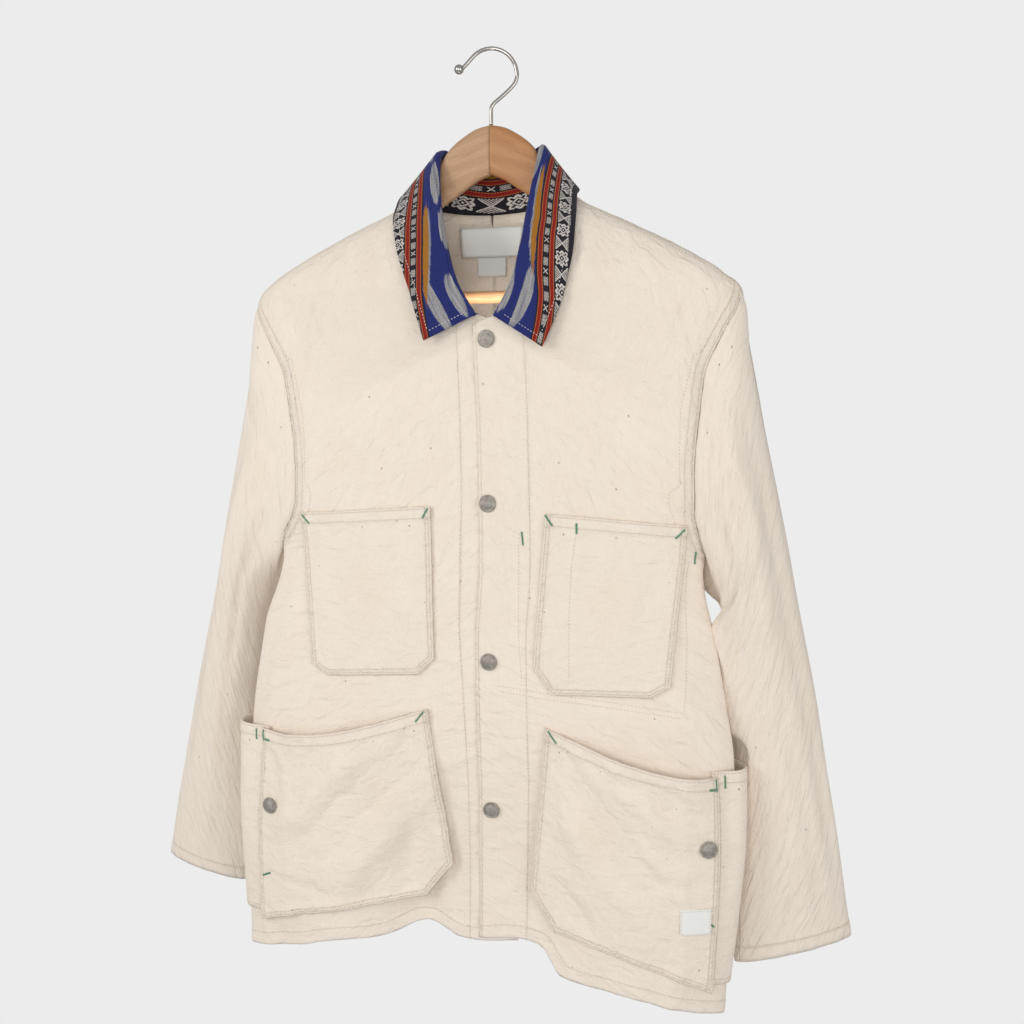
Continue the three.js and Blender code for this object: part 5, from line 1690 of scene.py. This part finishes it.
# Bands counted outward from the inner edge of the first red stripe
BLACK_EDGE = 1.4
RED_WIDE = 4.7
SMALL_BAND_END = 10.7
SECOND_RED_END = 15.5
MOTIF_REPEAT = 26.0


def ikat_group():
    """The collar's cloth: bands woven with motifs, and a blue ground with ikat spindles."""
    weave, _, sink = node_group("collar_cloth", CLOTH_OUTPUTS)
    along, off_fold = weave.cloth_places()
    toward_end = (along.abs() - BAND_DRIFT_FROM).most(0.0)
    drift = toward_end.math("POWER", BAND_DRIFT_POWER) * BAND_DRIFT + BAND_START
    drift = drift - along.ramp(-20.0, 20.0) * LEFT_BAND_SHIFT
    band = (off_fold - drift).most(-STAND_BAND - off_fold)
    thread = weave.noise((along * 0.035, off_fold * 1.7), 1.0, 4.0, 0.75)
    coarse = weave.noise((along * 0.03, off_fold * 0.45, 5.0), 1.0, 2.0, 0.5)
    ragged = (thread - 0.5) * 1.5 + (coarse - 0.5) * 0.6
    pale = None
    for centre, off, long, wide in SPINDLES:
        reach = ((along - centre) / (long / 2)).abs()
        spread = ((off_fold - off) / (wide / 2)).abs()
        inside = 1.0 - reach * reach * 0.9 - spread * spread * 0.8 + ragged * (reach * 0.85 + 0.4)
        mask = inside.ramp(-0.02, 0.10)
        pale = mask if pale is None else pale.most(mask)
    gold, fringe = None, None
    for centre, long, wide in MUSTARD_SPINDLES:
        reach = ((along - centre) / (long / 2)).abs()
        spread = ((band + 4.0) / (wide / 2)).abs()
        inside = 1.0 - reach * reach * 0.9 - spread * spread * 0.7 + ragged * 1.2
        fringe_spread = ((band + 6.2) / (wide / 2)).abs()
        inner_fringe = 0.95 - reach * reach * 0.9 - fringe_spread * 0.85 + ragged * 1.3
        mask, edge = inside.ramp(-0.02, 0.08), inner_fringe.ramp(0.0, 0.12)
        gold = mask if gold is None else gold.most(mask)
        fringe = edge if fringe is None else fringe.most(edge)
    speckle = weave.noise((along * 1.6, off_fold * 1.6, 2.0), 1.0, 2.0, 0.7)
    blue = weave.mix(thread.ramp(0.3, 0.75), ROYAL_BLUE, DEEP_BLUE)
    heather = weave.mix((speckle + (coarse - 0.5) * 0.5).ramp(0.40, 0.60), HEATHER_DARK, HEATHER)
    ground = weave.mix(fringe * 0.85, blue, heather)
    ground = weave.mix(pale, ground, heather)
    ground = weave.mix(gold, ground, weave.mix(thread.ramp(0.35, 0.9) * 0.6, MUSTARD, OCHRE))

    # Red stripes with dashed ochre edges
    first = (band - RED_WIDE / 2).abs()
    second = (band - (SMALL_BAND_END + SECOND_RED_END) / 2).abs()
    stripe = first.least(second)
    dashes = (along * 4.2).sin().ramp(-0.9, -0.2)
    red = weave.mix(stripe.above(1.45) * dashes, BRICK, OCHRE)
    in_red = stripe.below(2.15)

    # The narrow band: a small cross and two hatched crosses to each repeat
    place = along.repeat(MOTIF_REPEAT)
    height = (band - (RED_WIDE + SMALL_BAND_END) / 2).abs()
    cross_at = place.abs()
    cross = (cross_at - height).abs().below(0.5) * cross_at.below(2.0) * height.below(2.1)
    hatched_at = (cross_at - 7.6).abs()
    lattice = (hatched_at - height).repeat(1.5).abs().below(0.42)
    hatched = lattice * hatched_at.below(3.2) * height.below(2.1)
    narrow = cross.most(hatched)

    # The wide band: a hatched diagonal cross and a rosette in turn
    wide_centre = SECOND_RED_END + 7.2
    rise = (band - wide_centre).abs()
    slope = place.abs()
    main_line = (slope - rise).abs().below(0.7)
    hatch = (slope - rise).repeat(1.7).abs().below(0.42) * rise.above(slope)
    diagonal = main_line.most(hatch) * slope.below(6.0) * rise.below(6.3)
    aside = (place.abs() - MOTIF_REPEAT / 2).abs()
    ring = aside + rise
    core = (ring - 3.3).abs().below(0.75).most(ring.below(1.0))
    petal = ((aside - rise).abs().above(1.1)) * ((ring - 5.9).abs().below(1.15))
    tips = aside.most(rise)
    points = (tips - 4.9).abs().below(0.6) * (aside - rise).abs().below(2.2)
    rosette = core.most(petal).most(points) * aside.below(6.4) * rise.below(6.4)
    wide_motif = diagonal.most(rosette)
    motif = narrow * band.below(SMALL_BAND_END) + wide_motif * band.above(SECOND_RED_END)
    uneven = weave.noise((along * 1.1, band * 1.1, 6.0), 1.0, 1.0)
    white = weave.mix(uneven.ramp(0.25, 0.6), MOTIF_GREY, MOTIF_WHITE)
    banded = weave.mix(motif, BLACK_GROUND, white)
    banded = weave.mix(in_red, banded, red)
    colour = weave.mix(band.above(-BLACK_EDGE), ground, banded)
    weave.put(sink.inputs["Colour"], colour)
    rib = (off_fold * 9.0).sin() * 0.35 + (along * 7.4).sin() * 0.3
    raised = motif * 1.6 * band.above(0.0) + rib + thread * 1.3
    weave.put(sink.inputs["Height"], raised)
    return weave.tree


def collar_material():
    material, weave, shader = new_material("collar_ikat")
    cloth = use_group(weave, ikat_group())
    weave.put(shader.inputs["Base Color"], cloth.outputs["Colour"])
    shader.inputs["Roughness"].default_value = 0.88
    shader.inputs["Specular IOR Level"].default_value = 0.2
    shader.inputs["Sheen Weight"].default_value = 0.15
    weave.put(shader.inputs["Normal"], weave.bump(cloth.outputs["Height"], IKAT_RELIEF))
    return material


def thread_material(name, colour):
    material, weave, shader = new_material(name)
    places = weave.node("ShaderNodeTexCoord").outputs["Object"]
    fuzz = weave.noise(places, 900.0, 2.0, 0.6)
    weave.put(shader.inputs["Base Color"], weave.brighten(colour, fuzz * 0.25 + 0.88))
    shader.inputs["Roughness"].default_value = 0.7
    shader.inputs["Sheen Weight"].default_value = 0.2
    weave.put(shader.inputs["Normal"], weave.bump(fuzz, 0.0002))
    return material


def label_material():
    """A damask label, left bare but for its woven edge and ribs."""
    material, weave, shader = new_material("label_satin")
    x, y = weave.cloth_places()
    ribs = (y * 14.0).sin() * 0.5 + (x * 9.0).sin() * 0.3
    cloud = weave.noise((x * 0.5, y * 1.4), 1.0, 2.0)
    colour = weave.mix(cloud, srgb(238, 239, 233), srgb(250, 250, 246))
    weave.put(shader.inputs["Base Color"], weave.brighten(colour, ribs * 0.012 + 1.0))
    shader.inputs["Roughness"].default_value = 0.6
    shader.inputs["Sheen Weight"].default_value = 0.1
    weave.put(shader.inputs["Normal"], weave.bump(ribs, 0.00006))
    return material


def wood_material(name, pale, dark, run_way, swirl):
    """Lacquered beech: long grain drawn out along the arm, and short dark pores. run_way is
    the grain's direction in x and z."""
    material, weave, shader = new_material(name)
    split = weave.node("ShaderNodeSeparateXYZ", Vector=weave.node("ShaderNodeTexCoord").outputs["Object"])
    x, y, z = (Signal(weave.tree, split.outputs[axis]) for axis in "XYZ")
    run = (x * run_way[0] + z * run_way[1]) * 1000.0
    over = (z * run_way[0] - x * run_way[1]) * 1000.0
    wander = weave.noise((run * 0.02, over * 0.05, y * 30.0), 1.0, 2.0, 0.5)
    rings = (over * 0.55 + wander * swirl + y * 500.0).sin().ramp(-0.9, 0.9)
    streaks = weave.noise((run * 0.05, over * 1.4, y * 200.0), 1.0, 4.0, 0.65)
    pores = weave.noise((run * 0.22, over * 2.6, y * 300.0), 1.0, 1.0, 0.5).ramp(0.62, 0.74)
    colour = weave.mix((rings * 0.12 + streaks * 0.75).ramp(0.15, 0.7), pale, dark)
    colour = weave.brighten(colour, 1.06 - pores * 0.16)
    weave.put(shader.inputs["Base Color"], colour)
    weave.put(shader.inputs["Roughness"], streaks * 0.2 + 0.36)
    shader.inputs["Coat Weight"].default_value = 0.25
    shader.inputs["Coat Roughness"].default_value = 0.3
    weave.put(shader.inputs["Normal"], weave.bump(streaks + pores * -0.6, 0.00006))
    return material


def button_material():
    """Dull nickel, brushed round and a little worn."""
    material, weave, shader = new_material("dull_nickel")
    places = weave.node("ShaderNodeTexCoord").outputs["Object"]
    grain = weave.noise(places, 1400.0, 3.0, 0.6)
    cloud = weave.noise(places, 260.0, 2.0, 0.5)
    colour = weave.mix(cloud.ramp(0.3, 0.7), srgb(150, 144, 136), srgb(178, 172, 163))
    weave.put(shader.inputs["Base Color"], colour)
    shader.inputs["Metallic"].default_value = 0.7
    weave.put(shader.inputs["Roughness"], grain * 0.2 + 0.5)
    weave.put(shader.inputs["Normal"], weave.bump(grain, 0.00004))
    return material


def wire_material():
    """Chromed wire with fine drawing lines, and a painted dark reflection: its colour darkens toward the
    edges that turn away from the camera.
    """
    material, weave, shader = new_material("chromed_wire")
    places = weave.node("ShaderNodeTexCoord").outputs["Object"]
    grain = weave.noise(places, 700.0, 2.0, 0.5)
    # Painted reflection: a dark colour toward the wire's grazing edges stands in for dark reflections
    facing = weave.node("ShaderNodeLayerWeight", Blend=0.35).outputs["Facing"]
    bands = Signal(weave.tree, facing).ramp(0.1, 0.7)
    weave.put(shader.inputs["Base Color"], weave.mix(bands, srgb(200, 194, 188), srgb(84, 74, 66)))
    shader.inputs["Metallic"].default_value = 1.0
    weave.put(shader.inputs["Roughness"], grain * 0.12 + 0.12)
    weave.put(shader.inputs["Normal"], weave.bump(grain, 0.00003))
    return material


PANEL_ROWS = ((SEWN_TWICE, 2.0), (SEWN_TWICE, 8.0), (TURNED_EDGE, 12.0))
BODY_ROWS = (*PANEL_ROWS, (INNER_ROW, 3.0), (INNER_ROW, 46.0))
BACK_ROWS = (*PANEL_ROWS, (INNER_ROW, 2.0))
SLEEVE_ROWS = ((SEWN_TWICE, 0.0), (TURNED_EDGE, CUFF_ROW), (INNER_ROW, 6.0))
POCKET_ROWS = ((SEWN_TWICE, 2.2), (SEWN_TWICE, 5.2), (TURNED_EDGE, 2.0), (TURNED_EDGE, 10.5))
body_cotton = cotton_material("ecru_drill_body", BODY_ROWS)
back_cotton = cotton_material("ecru_drill_back", BACK_ROWS)
sleeve_cotton = cotton_material("ecru_drill_sleeve", SLEEVE_ROWS)
pocket_cotton = cotton_material("ecru_drill_pocket", POCKET_ROWS)
collar_cloth = collar_material()
thread = thread_material("ecru_thread", srgb(232, 218, 194))
white_thread = thread_material("white_thread", srgb(226, 224, 222))
tack_thread = thread_material("green_thread", srgb(92, 150, 120))
label_cloth = label_material()
nickel = button_material()
pale_wood = wood_material("beech_pale", srgb(194, 156, 120), srgb(168, 128, 92), (0.95, 0.30), 5.0)
warm_wood = wood_material("beech_warm", srgb(186, 136, 88), srgb(162, 108, 64), (0.90, -0.42), 9.0)
# The bar's wood is painted much lighter than the arms' wood to make up for the shade it hangs in: painted
# light
bar_wood_painted_light = wood_material("bar_wood_painted_light", srgb(236, 186, 136), srgb(212, 150, 98), (1.0, 0.0), 2.0)
chrome = wire_material()


# Pieces

def keep(made, *nodes):
    """Fixes a piece to the row's one body, in place of the nodes that it shows."""
    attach(made, "root")
    if nodes:
        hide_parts(*nodes)
    return made


LINE_SAMPLES = 200
EDGE_STEP = 0.004


def edge_line(cloth, edge, offset, first=0.0, last=1.0):
    """A line that follows one edge of a piece, offset millimetres inside it.
    The edges are inner and outer (across) and top and bottom (down)."""
    share = np.linspace(first, last, LINE_SAMPLES)
    fixed = np.full(LINE_SAMPLES, 1.0 if edge in ("outer", "bottom") else 0.0)
    step = np.where(fixed > 0.5, -EDGE_STEP, EDGE_STEP)

    def shares(line):
        return (line, share) if edge in ("inner", "outer") else (share, line)

    base, beside = cloth.line(*shares(fixed)), cloth.line(*shares(fixed + step))
    way = unit(np.gradient(base, axis=0))
    inward = beside - base
    inward = inward - way * (inward * way).sum(-1, keepdims=True)
    scale = np.maximum(np.linalg.norm(inward, axis=-1), 1e-3)
    return cloth.place(*shares(fixed + step * offset / scale))


def sew(cloth, edge, *offsets, first=0.0, last=1.0):
    """Rows of stitches beside an edge, from the share first to the share last of it."""
    return [run_of_stitches(cloth, *edge_line(cloth, edge, offset, first, last)) for offset in offsets]


def sew_line(cloth, *places):
    """Stitches through a few places given in the cloth's surface coordinates."""
    places = np.array(places, float)
    share = np.linspace(0, len(places) - 1, 60)
    a = np.interp(share, np.arange(len(places)), places[:, 0])
    b = np.interp(share, np.arange(len(places)), places[:, 1])
    return run_of_stitches(cloth, a, b)


TACK_THREADS = 13
TACK_HALF_WIDTH = 1.25
TACK_LIFT = 0.45
SLEEVE_RUN = 520.0


def tack(cloth, start, end):
    """A bar tack: short threads side by side across a line."""
    share = np.linspace(0, 1, TACK_THREADS)
    points, out = cloth.at(mix(start[0], end[0], share), mix(start[1], end[1], share), TACK_LIFT)
    way = unit(np.gradient(points, axis=0))
    sideways = unit(np.cross(way, out))
    wobble = 0.12 * np.sin(share * 37)[:, None]
    left = points - sideways * (TACK_HALF_WIDTH + wobble)
    return left, points + sideways * (TACK_HALF_WIDTH - wobble), out


def tack_at(cloth, start, end):
    """A bar tack between two places given as shares across and down a pocket."""
    return tack(cloth, cloth.place(*start), cloth.place(*end))


def body_stitches(cloth, behind):
    runs = sew(cloth, "bottom", 12.0)
    runs += sew(cloth, "outer", 2.0, 8.0, first=0.012, last=ARMHOLE_END * 0.985)
    runs += sew(cloth, "top", 2.0, 8.0, first=0.03, last=0.98)
    runs += sew(cloth, "outer", 2.0, 7.0, first=ARMHOLE_END * 1.02, last=0.99)
    if behind:
        runs += sew(cloth, "inner", 2.0, first=NECK_END * 1.1, last=0.99)
    else:
        runs += sew(cloth, "inner", 3.0, 46.0, first=NECK_END * 1.04, last=0.995)
    return runs


def pocket_stitches(cloth, mouth):
    runs = sew(cloth, "top", 2.0, mouth - 1.0, first=0.01, last=0.99)
    for offset in POCKET_EDGE_ROWS:
        runs += sew(cloth, "inner", offset, first=0.02, last=0.985)
        runs += sew(cloth, "outer", offset, first=0.02, last=0.985)
        runs += sew(cloth, "bottom", offset, first=0.03, last=0.97)
    return runs


def side_pocket_stitches(cloth):
    runs = sew(cloth, "top", 2.0, SIDE_MOUTH - 1.0)
    return runs + sew(cloth, "outer", *POCKET_EDGE_ROWS) + sew(cloth, "bottom", *POCKET_EDGE_ROWS)


def cuff_stitches(cloth):
    return [run_of_stitches(cloth, np.linspace(0, 1, LINE_SAMPLES), 1 - CUFF_ROW / SLEEVE_RUN)]


def collar_stitches(cloth):
    runs = sew(cloth, "bottom", 6.0, first=0.01, last=0.99)
    for end in ("inner", "outer"):
        runs += sew(cloth, end, 6.0, first=0.45, last=0.93)
    return runs


def label_stitches(cloth):
    runs = []
    for edge in ("top", "bottom", "inner", "outer"):
        runs += sew(cloth, edge, 1.2)
    return runs


cloths, stitches, tacks = {}, {}, {}
for side, word in ((1, "left"), (-1, "right")):
    back = body_panel("back_" + word, side, True)
    front = body_panel("front_" + word, side, False)
    arm = sleeve("sleeve_" + word, side)
    chest = chest_pocket("chest_pocket_" + word)
    beside = side_pocket("side_pocket_" + word)
    lower = lower_pocket("lower_pocket_" + word)
    cloths.update({cloth.name: cloth for cloth in (back, front, arm, chest, beside, lower)})
    stitches[back.name] = body_stitches(back, True)
    stitches[front.name] = body_stitches(front, False)
    stitches[arm.name] = cuff_stitches(arm)
    stitches[chest.name] = pocket_stitches(chest, CHEST_MOUTH)
    stitches[lower.name] = pocket_stitches(lower, LOWER_MOUTH)
    stitches[beside.name] = side_pocket_stitches(beside)
cloths["collar"] = collar_piece()
stitches["collar"] = collar_stitches(cloths["collar"])
for name in LABELS:
    cloths[name] = label(name)
    stitches[name] = label_stitches(cloths[name])

# Rows that run over a piece: the inner pocket's on the left front, and the chest pocket's pen
# division. Each goes through places given by turn and z.
OPEN_ROWS = {
    "front_left": (
        ((0.014, -557), (0.102, -561), (0.448, -572.5)),
        ((0.014, -562), (0.102, -566), (0.448, -577.5)),
        ((0.065, -420), (0.065, -559.5)),
        ((0.622, -441.5), (0.462, -574)),
    ),
    "chest_pocket_left": (((0.205, -419), (0.168, -548)),),
}
for name, rows in OPEN_ROWS.items():
    stitches[name] += [sew_line(cloths[name], *row) for row in rows]

# Bar tacks from one place to another, by turn and z
TACKS_ON_BODY = {
    "front_left": (((0.071, -420), (0.075, -431)), ((0.655, -435), (0.66, -445))),
    "chest_pocket_left": (
        ((0.126, -404.5), (0.144, -413)), ((0.203, -411), (0.205, -419.5)),
        ((0.553, -414.5), (0.522, -422)),
    ),
}
# Bar tacks by shares across and down a pocket
LOWER_POCKET_TACKS = (
    ((0.018, 0.008), (0.055, 0.05)), ((0.972, 0.008), (0.972, 0.06)), ((0.90, 0.052), (0.955, 0.052)),
)
SIDE_POCKET_TACKS = (((0.085, 0.02), (0.085, 0.075)),)
TACKS_ON_POCKETS = {
    "chest_pocket_right": (((0.02, 0.015), (0.055, 0.07)), ((0.98, 0.015), (0.93, 0.07))),
    "lower_pocket_left": (*LOWER_POCKET_TACKS, ((0.88, 0.67), (0.955, 0.68))),
    "lower_pocket_right": (*LOWER_POCKET_TACKS, ((0.88, 0.755), (0.955, 0.765))),
    "side_pocket_left": SIDE_POCKET_TACKS,
    "side_pocket_right": SIDE_POCKET_TACKS,
}
for name, places in TACKS_ON_BODY.items():
    tacks[name] = [tack(cloths[name], *ends) for ends in places]
for name, places in TACKS_ON_POCKETS.items():
    tacks[name] = [tack_at(cloths[name], *ends) for ends in places]

# The cut of each piece: width and length in metres, its share of that rectangle, and what it
# hangs from
CUTS = {
    "front_left": (0.300, 0.730, 0.80, ("hanger_arm_left",)),
    "front_right": (0.290, 0.730, 0.80, ("hanger_arm_right",)),
    "collar": (0.480, 0.118, 0.76, ("front_left", "front_right", "back_left", "back_right")),
    "neck_label": (0.061, 0.027, 1.0, ("back_left", "back_right")),
    "care_label": (0.028, 0.018, 1.0, ("back_left", "back_right")),
    "pocket_label": (0.024, 0.023, 1.0, ("lower_pocket_left",)),
}

for word in ("left", "right"):
    front, back = "front_" + word, "back_" + word
    CUTS["back_" + word] = (0.285, 0.750, 0.86, ("hanger_arm_" + word,))
    CUTS["sleeve_" + word] = (0.320, 0.490, 0.80, (front, back))
    CUTS["chest_pocket_" + word] = (0.130, 0.150, 0.95, (front,))
    CUTS["lower_pocket_" + word] = (0.190, 0.200, 0.96, (front,))
    CUTS["side_pocket_" + word] = (0.175, 0.170, 0.97, (front, back))

CLOTH_KINDS = {
    "back": back_cotton, "front": body_cotton, "sleeve": sleeve_cotton, "collar": collar_cloth,
    "chest_pocket": pocket_cotton, "lower_pocket": pocket_cotton, "side_pocket": pocket_cotton,
    **{name: label_cloth for name in LABELS},
}

for name, cloth in cloths.items():
    made = cloth.mesh(CLOTH_KINDS[name.removesuffix("_left").removesuffix("_right")])
    made.name = "soft_" + name
    keep(made, name)
    used = white_thread if name == "collar" else thread
    sewn = [keep(stitch_mesh("stitches_" + name, stitches[name], used))]
    if name in tacks:
        sewn.append(keep(stitch_mesh("tacks_" + name, tacks[name], tack_thread, TACK_THREAD_RADIUS)))
    width, length, share, rests_on = CUTS[name]
    width * length * share

for index, (x, z) in enumerate(FRONT_BUTTONS):
    turn = float(turn_at_x(1, x, z))
    name = f"button_{index + 1}"
    keep(add_button("metal_" + name, 1, turn, z, float(lap_lift(1, turn)) + BUTTON_GAP, nickel), name)
for name, (side, turn, z) in POCKET_BUTTONS.items():
    pocket = LOWER_POCKETS["lower_pocket_left" if side > 0 else "lower_pocket_right"]
    lift = float(lower_lift(pocket, turn, z)) + POCKET_BUTTON_GAP
    keep(add_button("metal_" + name, side, turn, z, lift, nickel), name)
keep(hanger_arm("wood_arm_left", 1, warm_wood), "hanger_arm_left")
keep(hanger_arm("wood_arm_right", -1, pale_wood), "hanger_arm_right")
keep(hanger_bar(bar_wood_painted_light), "hanger_bar")
keep(hanger_hook(chrome), "hanger_hook")

# Camera, room and light

LENS = 40
SENSOR = 36
CAMERA_PLACE = (0.34216, -0.99286, -0.279)
CAMERA_ASIDE = 18 * DEGREES
CAMERA_TILT = 82.8 * DEGREES
WALL_TONE = 0.838
ROOM_LIGHT = 0.49
ROOM_COLOUR = (0.97, 0.98, 1.0)
WARM_WHITE = (1.0, 0.985, 0.965)


def camera():
    data = bpy.data.cameras.new("camera")
    data.lens = LENS
    data.sensor_width = SENSOR
    seen_from = bpy.data.objects.new("camera", data)
    seen_from.location = CAMERA_PLACE
    seen_from.rotation_euler = (CAMERA_TILT, 0, CAMERA_ASIDE)
    bpy.context.scene.collection.objects.link(seen_from)
    return seen_from


def room():
    """A wall of an even tone, and an even light that the camera doesn't see."""
    world = bpy.data.worlds.new("room")
    world.use_nodes = True
    nodes, links = world.node_tree.nodes, world.node_tree.links
    seen = nodes["Background"]
    seen.inputs["Color"].default_value = (WALL_TONE, WALL_TONE, WALL_TONE, 1)
    lit = nodes.new("ShaderNodeBackground")
    lit.inputs["Color"].default_value = (*ROOM_COLOUR, 1)
    lit.inputs["Strength"].default_value = ROOM_LIGHT
    path = nodes.new("ShaderNodeLightPath")
    choose = nodes.new("ShaderNodeMixShader")
    links.new(path.outputs["Is Camera Ray"], choose.inputs[0])
    links.new(lit.outputs[0], choose.inputs[1])
    links.new(seen.outputs[0], choose.inputs[2])
    links.new(choose.outputs[0], nodes["World Output"].inputs["Surface"])
    return world


def softbox(name, place, target, size, energy, colour):
    """A soft rectangular lamp at a place, aimed at a target."""
    data = bpy.data.lights.new(name, "AREA")
    data.shape = "RECTANGLE"
    data.size, data.size_y = size
    data.energy = energy
    data.color = colour
    lamp = bpy.data.objects.new(name, data)
    lamp.location = place
    aim = Vector(target) - Vector(place)
    lamp.rotation_euler = aim.to_track_quat("-Z", "Y").to_euler()
    bpy.context.scene.collection.objects.link(lamp)


bpy.context.scene.camera = camera()
bpy.context.scene.world = room()
bpy.context.scene.view_settings.view_transform = "Standard"
softbox("key", (-1.3, -1.5, 0.2), (0, 0, -0.55), (0.8, 1.0), 12.5, WARM_WHITE)
softbox("front", (0.25, -1.8, -0.25), (0, 0, -0.35), (0.7, 0.7), 6.6, WARM_WHITE)
softbox("fill", (1.7, -1.3, -0.3), (0, 0, -0.5), (1.2, 1.2), 9.2, (1.0, 0.98, 0.96))
softbox("bounce", (0.0, -0.045, -0.235), (0, 0.02, -0.165), (0.06, 0.03), 0.03, (1.0, 0.98, 0.95))
